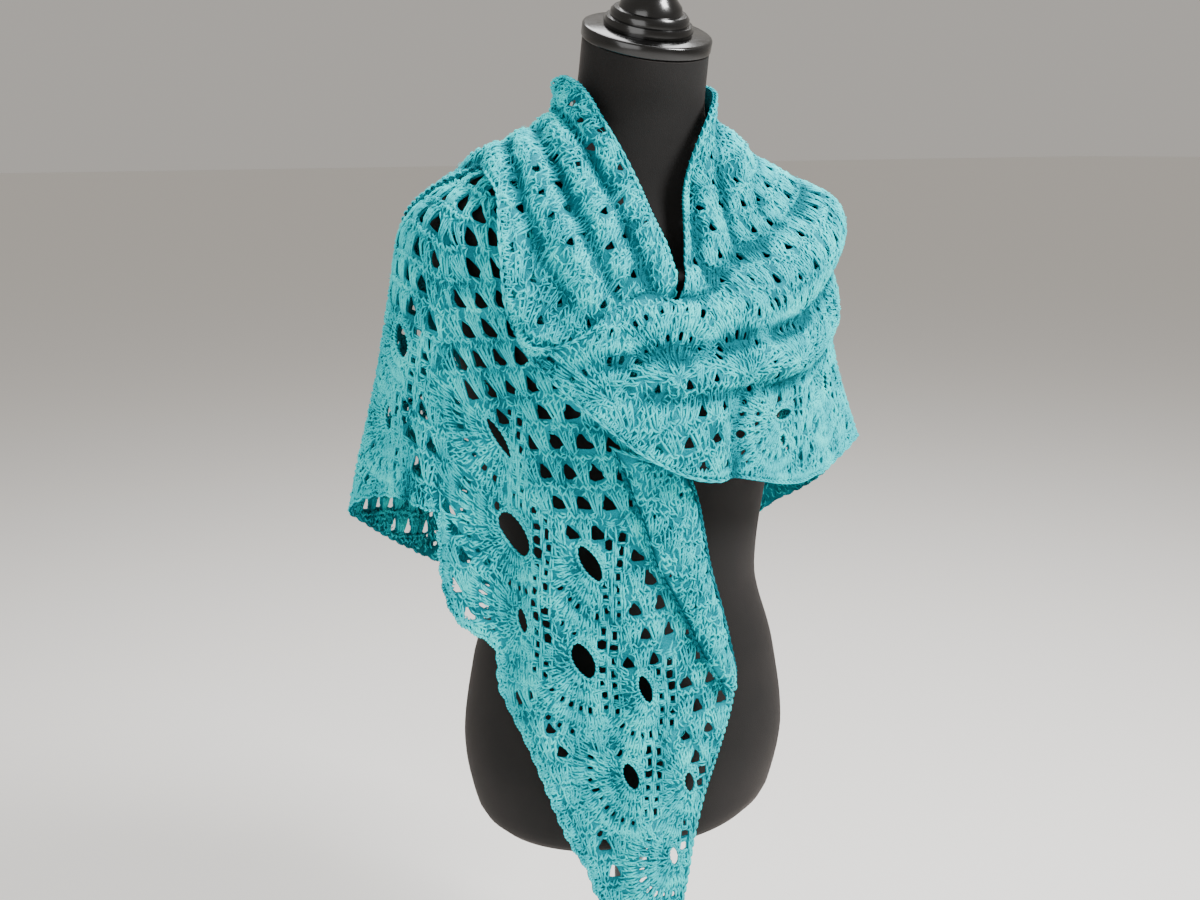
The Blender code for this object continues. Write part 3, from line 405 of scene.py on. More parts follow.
lines = {
    "neckBack": ((-248, 0.030), (-180, 0.034), (-128, 0.030)),
    "neckLeft": ((58, 0.035), (85, 0.030), (112, 0.030)),
    "backRight": ((-128, 0.030), (-128, 0.550)),
    "backLeft": ((-248, 0.030), (-248, 0.560)),
    "cowlLeft": ((58, 0.035), (58, 0.425)),
    "wingSide": ((-76, 0.060), (-76, 0.458)),
    "tailSeam": ((-88, 0.022), (-88, 0.155)),
    "hemBack": ((-248, 0.560), (-232, 0.592), (-210, 0.615), (-180, 0.636), (-164, 0.606), (-150, 0.585),
                (-128, 0.550)),
    "hemSide": ((-128, 0.550), (-112, 0.525), (-103, 0.505), (-94, 0.478), (-84, 0.462), (-76, 0.458)),
    "hemLeft": ((58, 0.425), (70, 0.436), (78, 0.442), (85, 0.462), (92, 0.494), (100, 0.525),
                (112, 0.560)),
    "hemWing": ((-76, 0.458), (-75, 0.515), (-72, 0.548), (-65, 0.558), (-64, 0.594), (-61, 0.616),
                (-56, 0.638), (-52, 0.662), (-48, 0.694), (-44, 0.724), (-39, 0.750), (-36, 0.776),
                (-28, 0.808), (-20, 0.828), (-13, 0.834)),
    "edgeWing": ((-13, 0.834), (-8, 0.815), (-4, 0.776), (-1, 0.730), (3, 0.688), (7, 0.660), (11, 0.632),
                 (15, 0.598), (15, 0.570), (12, 0.550), (7, 0.504), (2, 0.464), (-3, 0.404), (-6, 0.376)),
    "wingUnderCowl": ((-6, 0.376), (-10, 0.325), (-20, 0.260), (-36, 0.190), (-56, 0.110), (-76, 0.060)),
    "rollOuter": ((-6, 0.378), (-2.5, 0.404), (2.5, 0.464), (7.5, 0.504), (12.6, 0.550), (14.4, 0.572),
                  (13.6, 0.592)),
    "rollInner": ((13.6, 0.592), (9, 0.580), (1, 0.548), (-8, 0.500), (-17, 0.456), (-22, 0.412),
                  (-27, 0.376), (-31, 0.350), (-14, 0.366), (-6, 0.378)),
    "necklineLeft": ((58, 0.035), (35, 0.048), (20, 0.080), (10, 0.122), (2, 0.170), (-4, 0.208)),
    "flapEdge": ((-4, 0.208), (-10, 0.234), (-18, 0.224), (-26, 0.226), (-33, 0.237), (-40, 0.257),
                 (-50, 0.270), (-58, 0.268)),
    "hemCowl": ((-58, 0.268), (-54, 0.280), (-46, 0.300), (-35, 0.324), (-23, 0.352), (-7, 0.376),
                (12, 0.384), (35, 0.402), (58, 0.425)),
    "necklineRight": ((-7, 0.210), (-12, 0.176), (-24, 0.126), (-38, 0.086), (-53, 0.052), (-70, 0.030),
                      (-88, 0.022)),
    "hemPleats": ((-88, 0.155), (-76, 0.168), (-69, 0.180), (-64, 0.215), (-61, 0.256), (-57, 0.276)),
    "rightUnderTail": ((-80, 0.062), (-100, 0.056), (-118, 0.045), (-127, 0.032)),
    "pleatsUnderRoll": ((-57, 0.276), (-46, 0.284), (-34, 0.258), (-22, 0.246), (-12, 0.250), (-7, 0.210)),
    "tailEdge": ((-88, 0.155), (-100, 0.205), (-112, 0.260), (-122, 0.315), (-131, 0.350), (-139, 0.318),
                 (-144, 0.250), (-146, 0.180), (-142, 0.110), (-130, 0.055), (-108, 0.028), (-88, 0.022)),
}


def hump(distance):
    return 1 - np.clip(np.abs(distance), 0, 1) ** 2


def swell(distance):
    return 0.5 + 0.5 * np.cos(math.pi * np.clip(np.abs(distance), 0, 1))


def roundFold(distance):
    # fuller than the solid's folds, with a sharper crease at the foot
    return swell(distance) ** 0.62


def lineLength(line, degrees):
    rows = np.array(sorted(line), dtype=float)
    return np.interp(degrees, rows[:, 0], rows[:, 1])


def foldHeight(crest, angle, length):
    scale = readGrid(scales, angle, length)[..., 0]
    nearest = np.full(np.shape(angle), far)
    height = np.zeros(np.shape(angle))
    for (a0, s0, *start), (a1, s1, *end) in zip(crest, crest[1:]):
        run = (a1 - a0) * scale
        x = (angle - a0) * scale
        y = length - s0
        t = np.clip((x * run + y * (s1 - s0)) / (run * run + (s1 - s0) ** 2), 0, 1)
        away = np.hypot(x - t * run, y - t * (s1 - s0))
        towardHem = y - t * (s1 - s0) > 0
        top, below, above = [start[k] * (1 - t) + end[k] * t for k in range(3)]
        value = top * roundFold(away / (folds["spread"] * np.where(towardHem, below, above)))
        height = np.where(away < nearest, value, height)
        nearest = np.minimum(nearest, away)
    return height


def tallestFold(crests, angle, length):
    height = np.zeros(np.shape(angle))
    for crest in crests:
        height = np.maximum(height, foldHeight(crest, angle, length))
    return height


def bodyOffset(degrees, length):
    angle = wrapDegrees(degrees)
    offset = np.full(np.shape(angle), folds["body"])
    for crest, width, height, start in folds["ripples"]:
        away = wrapDegrees(angle - crest) / width
        offset = offset + height * swell(away) * ramp(length, start, start + folds["rippleRamp"])
    return offset


def edgeRollOffset(degrees, length):
    outer = lineLength([(s, a) for a, s in lines["rollOuter"]], length)
    inner = lineLength([(s, a) for a, s in lines["rollInner"][:8]], length)
    across = (np.asarray(degrees, dtype=float) - inner) / np.maximum(outer - inner, 1.0)
    inside = hump(np.clip(2 * across - 1, -1, 1)) ** 0.6 * ((across > 0) & (across < 1))
    return bodyOffset(degrees, length) + folds["cloth"] + folds["edgeGap"] + folds["edgeRoll"] * inside


def neckRoll(neckline, angle, length):
    away = length - lineLength(neckline, angle) - 0.5 * folds["neckRollReach"]
    return folds["neckRoll"] * hump(away / folds["neckRollReach"])


def upperLayer(degrees, length):
    angle = wrapDegrees(degrees)
    overWing = 1 - ramp(angle, 14, 50)
    overRoll = ramp(length, 0.27, 0.34) * ramp(angle, -50, -34) * (1 - ramp(angle, 0, 14))
    level = bodyOffset(degrees, length) + folds["layer"] * overWing
    return level + (folds["layer"] + folds["edgeRoll"]) * overRoll


def pleatsOffset(degrees, length):
    angle = wrapDegrees(degrees)
    height = tallestFold(folds["pleats"], angle, length)
    return upperLayer(degrees, length) + np.maximum(height, neckRoll(lines["necklineRight"], angle, length))


def tailOffset(degrees, length):
    # the edge of the tail settles on the shoulder
    points = np.stack([degrees, length], axis=-1).reshape(-1, 2) * flat
    away = distanceTo(points, flatLine(lines["tailEdge"][:9]), closed=False).reshape(np.shape(degrees))
    return pleatsOffset(degrees, length) - 1.8 * mm * (1 - ramp(away, 0, 15 * mm))


def cowlOffset(degrees, length):
    angle = wrapDegrees(degrees)
    height = tallestFold(folds["cowl"], angle, length)
    height = np.maximum(height, neckRoll(lines["necklineLeft"], angle, length) * (1 - ramp(angle, 30, 70)))
    level = upperLayer(degrees, length)
    overPleats = pleatsOffset(degrees, length) + folds["pleatStep"]
    beside = ramp(angle, 0, 10)
    return np.maximum(level + height, overPleats * (1 - beside) + level * beside)


# Flat geometry of a stretch

def trace(line, spacing):
    points = []
    for (a0, s0), (a1, s1) in zip(line, line[1:]):
        wide = (a1 - a0) * float(scaleAt(0.5 * (a0 + a1), 0.5 * (s0 + s1)))
        count = max(1, round(math.hypot(wide, s1 - s0) / spacing))
        for k in range(count):
            t = k / count
            points.append((a0 + (a1 - a0) * t, s0 + (s1 - s0) * t))
    return points


def insidePolygon(points, polygon):
    x, y = points[:, 0], points[:, 1]
    inside = np.zeros(len(points), dtype=bool)
    for k in range(len(polygon)):
        x0, y0 = polygon[k - 1]
        x1, y1 = polygon[k]
        if y0 == y1:
            continue
        crosses = (y0 > y) != (y1 > y)
        inside ^= crosses & (x < (x1 - x0) * (y - y0) / (y1 - y0) + x0)
    return inside


def distanceTo(points, polygon, closed=True):
    best = np.full(len(points), far)
    for k in range(0 if closed else 1, len(polygon)):
        start = np.asarray(polygon[k - 1], dtype=float)
        along = np.asarray(polygon[k], dtype=float) - start
        t = np.clip(((points - start) @ along) / max(along @ along, 1e-18), 0, 1)
        best = np.minimum(best, np.linalg.norm(points - start - t[:, None] * along, axis=1))
    return best


net = {
    "flatScale": 0.0031,        # metres per degree where the cloth hangs free
    "wallHalf": 0.7 * mm,
    # how wide and how deep a crease must be for its full painted shade
    "creaseShadeReach": 12 * mm,
    "creaseShadeDepth": 3.6 * mm,
    "seamRoom": 1.1 * mm,       # how far a gap stays from a seam, a border, an edge chain and a hem
    "borderRoom": 0.7 * mm,
    "edgeRoom": 3.6 * mm,
    "hemRoom": 9 * mm,
    "smallestGap": 3.2 * mm,
}
flat = np.array([net["flatScale"], 1.0])


def flatLine(line):
    return [tuple(p) for p in np.array(line, dtype=float) * flat]


def edgeFrame(points):
    # metres per degree along an edge, and the way square to it on the cloth
    scale = scaleAt(points[:, 0], points[:, 1])
    step = np.gradient(points, axis=0)
    step[:, 0] *= scale
    step = step / np.maximum(np.linalg.norm(step, axis=1, keepdims=True), 1e-9)
    return scale, np.stack([-step[:, 1], step[:, 0]], axis=1)


def lensHole(angle, length, width, height, lean, sides=14):
    scale = float(scaleAt(angle, length))
    turn = math.radians(lean)
    points = []
    for k in range(sides):
        t = 2 * math.pi * k / sides
        x = 0.5 * width * math.copysign(abs(math.cos(t)) ** 1.25, math.cos(t))
        y = 0.5 * height * math.sin(t) + 0.12 * height * math.cos(t)
        points.append((angle + (x * math.cos(turn) + y * math.sin(turn)) / scale,
                       length + y * math.cos(turn) - x * math.sin(turn)))
    return points


# Eyes of the fan border: angle, length, width, height, lean
eyes = {
    "wing": ((-64, 0.366, 0.012, 0.034, 38), (-60, 0.444, 0.030, 0.036, 20), (-38, 0.454, 0.016, 0.036, 22),
             (-40, 0.545, 0.020, 0.035, 12), (-20, 0.572, 0.012, 0.030, 12), (-25, 0.656, 0.014, 0.027, 8),
             (-3, 0.672, 0.011, 0.021, 0), (-9, 0.744, 0.009, 0.019, 0), (-58, 0.520, 0.012, 0.022, 0)),
    "side": ((-87.5, 0.328, 0.022, 0.029, 14), (-112, 0.405, 0.016, 0.026, 0), (-90, 0.400, 0.012, 0.022, 0)),
    "cowl": ((36, 0.338, 0.026, 0.011, 0), (36, 0.362, 0.010, 0.013, 0), (14, 0.346, 0.014, 0.009, 0)),
    "backSize": (0.016, 0.028), "pitchDegrees": 17.0, "fromHem": ((0.072, 0.25), (0.140, 0.75)),
}


def eyesAlong(first, last, hem):
    found = []
    for fromHem, start in eyes["fromHem"]:
        angle = first + start * eyes["pitchDegrees"]
        while angle < last:
            found.append((angle, float(lineLength(hem, angle)) - fromHem, *eyes["backSize"], 0))
            angle += eyes["pitchDegrees"]
    return tuple(found)


backEyes = eyesAlong(-248, -128, lines["hemBack"])
leftEyes = tuple((a - 360, s, 0.012, 0.022, 0) for a, s in
                 ((66, 0.352), (76, 0.300), (86, 0.382), (96, 0.360), (104, 0.448), (110, 0.402)))
borderEyes = eyes["wing"] + eyes["side"] + backEyes + leftEyes
# the same fans lie sideways and upside down where the border is folded over the chest
cowlFans = ((-12, 0.292, 0.004, 0.004, 255), (14, 0.296, 0.004, 0.004, 235), (-32, 0.306, 0.004, 0.004, 285),
            (38, 0.292, 0.004, 0.004, 225)) + eyes["cowl"][:1]
hemAll = ([(a - 360, s) for a, s in lines["hemLeft"]] + list(lines["hemBack"])[1:]
          + list(lines["hemSide"])[1:] + list(lines["hemWing"])[1:] + list(lines["edgeWing"])[1:9])
hemFlat = flatLine(hemAll)


# The fan border. Round each eye, rows of posts fan out toward the hem, some with chain gaps.
# On the other side two ladders of chain rungs climb past the eye.
fans = {
    # height, post pitch, gap width, gap height
    "rows": ((11, 4.4, 0, 0), (10.5, 4.6, 0, 0), (9.5, 8.6, 4.2, 5.8), (11, 4.7, 0, 0), (10, 10.4, 4.8, 6.6),
             (11, 4.7, 0, 0), (10.5, 11.5, 4.2, 5.2), (11, 4.7, 0, 0), (11, 4.7, 0, 0), (11, 4.7, 0, 0)),
    "from": math.radians(158), "to": math.radians(322), "reach": 0.050,
    "tallness": 1.18, "wobble": 1.5,
    "ladders": (3.0, 13.5), "ladderWidth": 8.6, "rungPitch": 12.0, "above": 16.0, "below": 34.0,
    "ladderGap": (5.6, 6.6), "upperGapGrowth": 1.45, "gapShare": 0.92,
    "fanGapShape": ((-0.5, 0.1), (-0.3, -0.5), (0.3, -0.5), (0.5, 0.1), (0.25, 0.5), (-0.25, 0.5)),
    "ladderGapShape": ((-0.5, -0.3), (0.0, -0.5), (0.5, -0.3), (0.45, 0.35), (0.0, 0.5), (-0.45, 0.35)),
    "ladderSway": 2.2 * mm, "ladderWave": 0.015, "ladderGapSizes": (0.60, 1.15),
    "ladderGapPlaces": (0.38, 0.54),
    "rimBand": 5 * mm, "sideways": 60,     # an eye that leans further than this has no ladders
}


def fanStart(eye):
    # a leaning eye keeps the right border of its fan where an upright one has it
    return fans["from"] + (math.radians(eye[4]) if abs(eye[4]) < fans["sideways"] else 0.0)


def eyeReach(eye, angle, length):
    # how far a place lies out from the rim of an eye, and which way, 0 above it and 90 degrees at +x
    a, s, width, height, lean = eye
    turn = math.radians(lean)
    x = (angle - a) * scaleAt(angle, length)
    y = s - length
    u = x * math.cos(turn) + y * math.sin(turn)
    v = y * math.cos(turn) - x * math.sin(turn)
    t = np.mod(np.arctan2(u / (width + 0.03), v / (height + 0.03)), 2 * math.pi)
    away = np.hypot(u, v / fans["tallness"])
    rim = np.hypot(0.5 * width * np.sin(t), 0.5 * height * np.cos(t) / fans["tallness"])
    return away - rim, t


def nearestEye(angle, length, group):
    # the eye whose fan a place belongs to, how far out it is and whether it lies in the fan's sector
    best = np.full(np.shape(angle), far)
    which = np.zeros(np.shape(angle), dtype=int)
    fanned = np.zeros(np.shape(angle), dtype=bool)
    for k, eye in enumerate(group):
        away, t = eyeReach(eye, angle, length)
        sector = (t > fanStart(eye)) & (t < fans["to"])
        away = np.where(sector | (away < fans["rimBand"]), away, 1.0 + away)
        closer = away < best
        which = np.where(closer, k, which)
        fanned = np.where(closer, sector | (away < fans["rimBand"]), fanned)
        best = np.minimum(best, away)
    return which, best, fanned


def inFan(angle, length, group, margin=0.0):
    _, away, fanned = nearestEye(angle, length, group)
    return fanned & (away < fans["reach"] + margin)


# Stitches. A strand is: start across, start up, end across, end up, bow, lift, half width, in mm.

cluster = {"width": 24.3, "height": 27, "topSpread": 7.0}


def clusterStrands(baseSpread):
    # three posts that fan out from one place, and the chain that bridges to the next cluster
    height, bridge = cluster["height"], 0.5 * cluster["width"]
    rows = []
    for k in (-1, 0, 1):
        base, top = k * baseSpread, k * cluster["topSpread"]
        middle = 0.5 * (base + top)
        rows += [(base - 1.2, -0.12 * height, top - 2.0, 0.82 * height, -0.8, 1.4, 1.18),
                 (base + 1.2, -0.12 * height, top + 2.0, 0.82 * height, 0.8, 1.4, 1.18),
                 (middle - 3.1, 0.26 * height, middle + 2.9, 0.50 * height, 0.4, 2.1, 1.15),
                 (top - 3.3, 0.56 * height, top + 2.7, 0.78 * height, 0.4, 1.9, 1.15),
                 (top - 4.2, 0.80 * height, top + 1.0, 1.03 * height, 0.5, 1.8, 1.30),
                 (top - 1.0, 1.03 * height, top + 4.2, 0.80 * height, 0.5, 1.8, 1.30)]
    rows += [(bridge - 3.4, 0.84 * height, bridge + 3.4, 0.90 * height, 0.5, 1.5, 1.25),
             (bridge - 2.6, 0.98 * height, bridge + 3.2, 0.92 * height, 0.5, 1.4, 1.20)]
    return np.array(rows) * mm


stitches = {
    "open": clusterStrands(1.9),
    "close": clusterStrands(3.6),
    "post": np.array([(-1.2, -1.2, -1.5, 11.0, -0.4, 1.3, 1.25), (1.2, -1.2, 1.5, 11.0, 0.4, 1.3, 1.25),
                      (-2.3, 3.4, 2.2, 6.8, 0.3, 1.9, 1.05), (-2.3, 9.0, 2.3, 12.0, 0.6, 1.8, 1.15)]) * mm,
    "rung": np.array([(-4.6, 0.2, 4.6, 0.8, 0.8, 1.3, 1.15), (-4.4, 2.2, 4.4, 2.6, 0.8, 1.9, 1.20),
                      (-4.6, 4.6, 4.6, 4.0, 0.8, 1.3, 1.15)]) * mm,
    "leg": np.array([(-1.1, -1.0, -1.1, 12.6, 0.4, 1.8, 1.2), (1.1, -1.0, 1.1, 12.6, 0.4, 1.5, 1.2)]) * mm,
    "edge": np.array([(-1.9, -0.5, 0.3, 10.4, -0.8, 1.5, 0.95), (1.9, -0.5, -0.3, 10.4, 0.8, 1.5, 0.95),
                      (-2.4, 4.6, 2.0, 6.4, 0.5, 1.9, 0.85)]) * mm,
    "fill": np.array([(0.0, -0.6, 0.0, 8.2, 2.2, 1.2, 1.00)]) * mm,
    "hair": np.array([(0.0, 0.0, 2.5, 11.0, 3.4, 3.4, 0.16)]) * mm,
    "hairShare": 0.10,
    "edgePitch": 5.0 * mm, "edgeRise": 10.0 * mm,
    "fillStep": (4.3 * mm, 6.2 * mm),
    "samples": 4,
}


def strandsAt(cells, pattern, jitter=0.55 * mm):
    # cells: angle, length, width factor, height factor, turn, lean
    cells = np.asarray(cells, dtype=float)
    if not len(cells):
        return None
    t = np.linspace(0, 1, stitches["samples"])
    count, each = len(cells), len(pattern)
    shake = rng.uniform(-jitter, jitter, (count, each, 4))
    u0, w0, u1, w1, bow, lift, half = [pattern[None, :, k] for k in range(7)]
    u0, w0, u1, w1 = u0 + shake[..., 0], w0 + shake[..., 1], u1 + shake[..., 2], w1 + shake[..., 3]
    u = u0[..., None] * (1 - t) + u1[..., None] * t
    w = w0[..., None] * (1 - t) + w1[..., None] * t
    run = np.maximum(np.hypot(u1 - u0, w1 - w0), 1e-6)[..., None]
    arch = np.sin(math.pi * t)
    side = bow[..., None] * arch * rng.uniform(-1.2, 1.2, (count, each, 1))
    u, w = u + side * (w1 - w0)[..., None] / run, w - side * (u1 - u0)[..., None] / run
    across, along, turn, lean = [cells[:, k][:, None, None] for k in (2, 3, 4, 5)]
    u = u * across + lean * w
    w = w * along
    a0 = cells[:, 0][:, None, None]
    s0 = cells[:, 1][:, None, None]
    angle = a0 + (u * np.cos(turn) - w * np.sin(turn)) / scaleAt(a0, s0)
    length = s0 - (u * np.sin(turn) + w * np.cos(turn))
    lift = lift[..., None] * rng.uniform(0.8, 1.25, (count, each, 1))
    rise = -0.4 * mm + (lift + 0.4 * mm) * arch ** 0.5
    wide = half[..., None] * (0.45 + 0.55 * arch) * rng.uniform(0.85, 1.15, (count, each, 1))
    shape = (count * each, len(t))
    return [np.broadcast_to(x, (count, each, len(t))).reshape(shape) for x in (angle, length, rise, wide)]


def turnOf(stretch):
    # the border's eyes run on past -180 degrees, so the left stretch finds its own a whole turn away
    return 360 if stretch["fans"] is borderEyes and stretch["range"][0] > 50 else 0


# Hand work is never even: the whole lattice drifts by a few millimetres, in waves of a few centimetres.
sway = {"across": 2.4 * mm, "down": 3.2 * mm, "alongWave": 0.031, "bendWave": 0.05, "roundWave": 0.024,
        "slantWave": 0.07}


def swayed(angle, length):
    x = angle * net["flatScale"]
    across = sway["across"] * np.sin(length / sway["alongWave"] + 1.7 * np.sin(x / sway["bendWave"]))
    down = sway["down"] * np.sin(x / sway["roundWave"] + length / sway["slantWave"])
    return angle + across / net["flatScale"], length + down


def rowPlaces(reference, low, high, length, steps):
    # angles that stand an even distance apart on the cloth along one row
    angles = np.linspace(low, high, 500)
    metres = np.concatenate([[0], np.cumsum(0.5 * (scaleAt(angles[1:], length) + scaleAt(angles[:-1], length))
                                            * np.diff(angles))])
    metres = metres - np.interp(reference, angles, metres)
    inside = (steps > metres[0]) & (steps < metres[-1])
    return np.interp(steps[inside], metres, angles)


def levelPlaces(look, table, distance, steps):
    # past the seam a row keeps its height; places stand an even distance apart along it
    angles, lengths, heights = table
    seam = look["from"]
    column = int(np.argmin(np.abs(angles - seam)))
    target = np.interp(distance, lengths, heights[column])
    path = np.array([np.interp(-target, -row, lengths) for row in heights])
    path = np.where(angles > seam, path, distance)
    path = path + math.tan(math.radians(look["tilt"])) * np.maximum(angles - seam, 0) * net["flatScale"]
    across = scaleAt(angles, path) * np.gradient(angles)
    down = np.gradient(path)
    metres = np.cumsum(np.hypot(across, down))
    metres = metres - np.interp(seam, angles, metres)
    steps = steps[(steps > metres[0]) & (steps < metres[-1])]
    places = np.interp(steps, metres, angles)
    return places, np.interp(places, angles, path), -np.interp(places, angles, np.arctan2(down, across))


gaps = {
    # the outline of a gap between clusters, in shares of its width and height
    "shape": ((-0.50, 0.16), (-0.30, 0.02), (0.16, 0.0), (0.44, 0.10), (0.46, 0.26), (0.26, 0.56),
              (0.08, 0.92), (-0.08, 0.96), (-0.26, 0.64), (-0.44, 0.38)),
    "widths": (0.8, 1.15), "heights": (0.80, 1.10), "lowHeight": 1.1, "leanPull": 1.8, "rise": 1.5 * mm,
    "roughAcross": 0.07, "roughUp": 0.06,
    # a gap belongs to the ground, to a ladder or to the fan of the eye with its number
    "ground": -2, "ladder": -1,
    # gaps lie this share of their sizes apart, and one thread more
    "apart": 0.8, "thread": 1.0 * mm,
}


def groundCells(stretch):
    # clusters stand half a cluster apart from row to row
    look = stretch["ground"]
    angles = [p[0] for p in stretch["outline"]]
    lengths = [p[1] for p in stretch["outline"]]
    low, high = min(angles) - 6, max(angles) + 6
    tall = look["height"] * mm
    wide = look["width"] * mm
    steps = np.arange(-40, 41) * wide
    slope = math.tan(math.radians(look["tilt"]))
    angle, length, turned = [], [], []
    table = heightsOver(low, high) if look["level"] else None
    for row in range(math.floor((min(lengths) - 0.25) / tall), math.ceil((max(lengths) + 0.30) / tall)):
        height = float(np.clip(row * tall, drape["firstLength"], drape["lastLength"]))
        shifted = steps + 0.5 * wide * (row % 2)
        if table:
            places, rowLength, rowTurn = levelPlaces(look, table, height, shifted)
        else:
            places = rowPlaces(look["from"], low, high, height, shifted)
            rowLength = row * tall + slope * (places - look["from"]) * net["flatScale"]
            rowTurn = np.zeros(len(places))
        angle.append(places)
        length.append(rowLength)
        turned.append(rowTurn)
    angle, length = swayed(np.concatenate(angle), np.concatenate(length))
    turned = np.concatenate(turned)
    keep = (length > min(lengths) - tall) & (length < max(lengths) + 2 * tall)
    keep &= (angle > low) & (angle < high)
    angle, length, turned = angle[keep], length[keep], turned[keep]
    scale = scaleAt(angle, length - 0.5 * tall)
    lean = look["lean"] * (1 - ramp(length, 0.42, 0.55))
    turn = turned + rng.normal(0, look["shake"], len(angle))
    ones = np.ones(len(angle))
    cells = np.stack([angle, length, ones * look["width"] / cluster["width"],
                      ones * look["height"] / cluster["height"], turn, lean], axis=1)
    lowHole = look["holeLow"]
    lower = ramp(length, *look["lowFrom"]) if lowHole else 0.0
    size = (look["hole"] * (1 - lower) + lowHole * lower) * mm * rng.uniform(*gaps["widths"], len(angle))
    rise = (look["holeHeight"] * (1 - lower) + gaps["lowHeight"] * lowHole * lower) * mm
    rise = rise * rng.uniform(*gaps["heights"], len(angle))
    corners = np.array(gaps["shape"])
    x = corners[None, :, 0] * size[:, None]
    x = x + gaps["leanPull"] * lean[:, None] * (corners[None, :, 1] - 0.35) * rise[:, None]
    y = corners[None, :, 1] * rise[:, None] + gaps["rise"]
    x = x + rng.uniform(-gaps["roughAcross"], gaps["roughAcross"], x.shape) * size[:, None]
    y = y + rng.uniform(-gaps["roughUp"], gaps["roughUp"], y.shape) * rise[:, None]
    x = x + 0.5 * wide
    cosine, sine = np.cos(turned)[:, None], np.sin(turned)[:, None]
    holes = np.stack([angle[:, None] + (x * cosine - y * sine) / scale[:, None],
                      length[:, None] - (x * sine + y * cosine)], axis=-1)
    return cells, [h for h, lucky in zip(holes, rng.random(len(holes))) if lucky < look["share"]]


def fanEyes(stretch):
    shift = turnOf(stretch)
    low, high = stretch["range"][0] - shift - 30, stretch["range"][1] - shift + 30
    return [(k, eye) for k, eye in enumerate(stretch["fans"]) if low < eye[0] < high]


def inLadder(angle, length, group, margin=0.0):
    inside = np.zeros(np.shape(angle), dtype=bool)
    for a, s, width, height, lean in group:
        if abs(lean) > fans["sideways"]:
            continue
        x = (angle - a) * scaleAt(angle, length) - 0.5 * width
        y = length - s
        wide = (fans["ladders"][1] + fans["ladderWidth"]) * mm
        inside |= ((x > fans["ladders"][0] * mm - margin) & (x < wide + margin)
                   & (y > -0.5 * height - fans["above"] * mm) & (y < 0.5 * height + fans["below"] * mm))
    return inside


def ellipsePlace(eye, t, reach, phase):
    _, _, width, height, lean = eye
    reach = reach + fans["wobble"] * math.sin(3 * t + phase) * min(1.0, reach / 8)
    x = math.sin(t) * (0.5 * width + reach * mm)
    y = math.cos(t) * (0.5 * height + reach * fans["tallness"] * mm)
    turn = math.radians(lean)
    return x * math.cos(turn) - y * math.sin(turn), y * math.cos(turn) + x * math.sin(turn)


def fanCells(stretch):
    posts, holes = [], []
    for k, eye in fanEyes(stretch):
        angle, length, width, height, _ = eye
        scale = float(scaleAt(angle, length))
        phase = 2.1 * k
        reach = 0.6
        for tall, pitch, gapWide, gapTall in fans["rows"]:
            mean = 0.25 * (width + height) + (reach + 0.3 * tall) * mm
            count = max(8, round(2 * math.pi * mean / (pitch * mm)))
            for i in range(count):
                t = 2 * math.pi * (i + 0.25 * rng.random()) / count
                fanned = fanStart(eye) < t < fans["to"]
                if not fanned and reach > 1:
                    continue
                x, y = ellipsePlace(eye, t, reach, phase)
                fx, fy = ellipsePlace(eye, t, reach + tall, phase)
                tallness = (math.hypot(fx - x, fy - y) / (11 * mm)) * (1.0 if fanned else 0.42)
                heading = math.atan2(fx - x, fy - y)
                posts.append((angle + x / scale, length - y, 1.0, tallness, -heading, 0.0, k))
                if gapWide and rng.random() < fans["gapShare"]:
                    holes.append((gapOutline(eye, t + math.pi / count, reach + 0.5 * tall, phase,
                                             gapWide, gapTall, scale), k))
            reach += tall
    return np.array(posts), holes


def gapOutline(eye, t, reach, phase, wide, tall, scale):
    x, y = ellipsePlace(eye, t, reach, phase)
    fx, fy = ellipsePlace(eye, t, reach + 1, phase)
    heading = math.atan2(fx - x, fy - y)
    size = rng.uniform(0.75, 1.2)
    points = []
    for px, py in fans["fanGapShape"]:
        dx, dy = px * wide * size * mm, py * tall * size * mm
        points.append((eye[0] + (x + dx * math.cos(heading) + dy * math.sin(heading)) / scale,
                       eye[1] - y - dy * math.cos(heading) + dx * math.sin(heading)))
    return points


def ladderCells(stretch):
    rungs, legs, holes = [], [], []
    for k, eye in fanEyes(stretch):
        angle, length, width, height, lean = eye
        if abs(lean) > fans["sideways"]:
            continue
        scale = float(scaleAt(angle, length))
        step = fans["rungPitch"] * mm
        for ladder, start in enumerate(fans["ladders"]):
            middle = 0.5 * width + (start + 0.5 * fans["ladderWidth"]) * mm
            y = -0.5 * height - (fans["above"] - 4 * ladder) * mm
            while y < 0.5 * height + (fans["below"] - 5) * mm:
                bend = fans["ladderSway"] * math.sin(y / fans["ladderWave"] + 1.7 * k)
                bend = bend + rng.normal(0, 0.5) * mm
                a = angle + (middle + bend) / scale
                rungs.append((a, length + y, fans["ladderWidth"] / 9.2, 1.0, rng.normal(0, 0.08), 0.0))
                for side in (-0.5, 0.5):
                    foot = a + side * fans["ladderWidth"] * mm / scale
                    legs.append((foot, length + y + step, 1.0, 1.0, 0.0, 0.0))
                # the gaps beside and above the eye are the big ones
                grown = fans["upperGapGrowth"] if y < 0.1 * height else 1.0
                sizes = fans["ladderGapSizes"]
                wide, tall = [v * grown * rng.uniform(*sizes) * mm for v in fans["ladderGap"]]
                centre = length + y + rng.uniform(*fans["ladderGapPlaces"]) * step
                gap = [(a + px * wide / scale, centre + py * tall) for px, py in fans["ladderGapShape"]]
                holes.append((gap, gaps["ladder"]))
                y += step
    return np.array(rungs), np.array(legs), holes


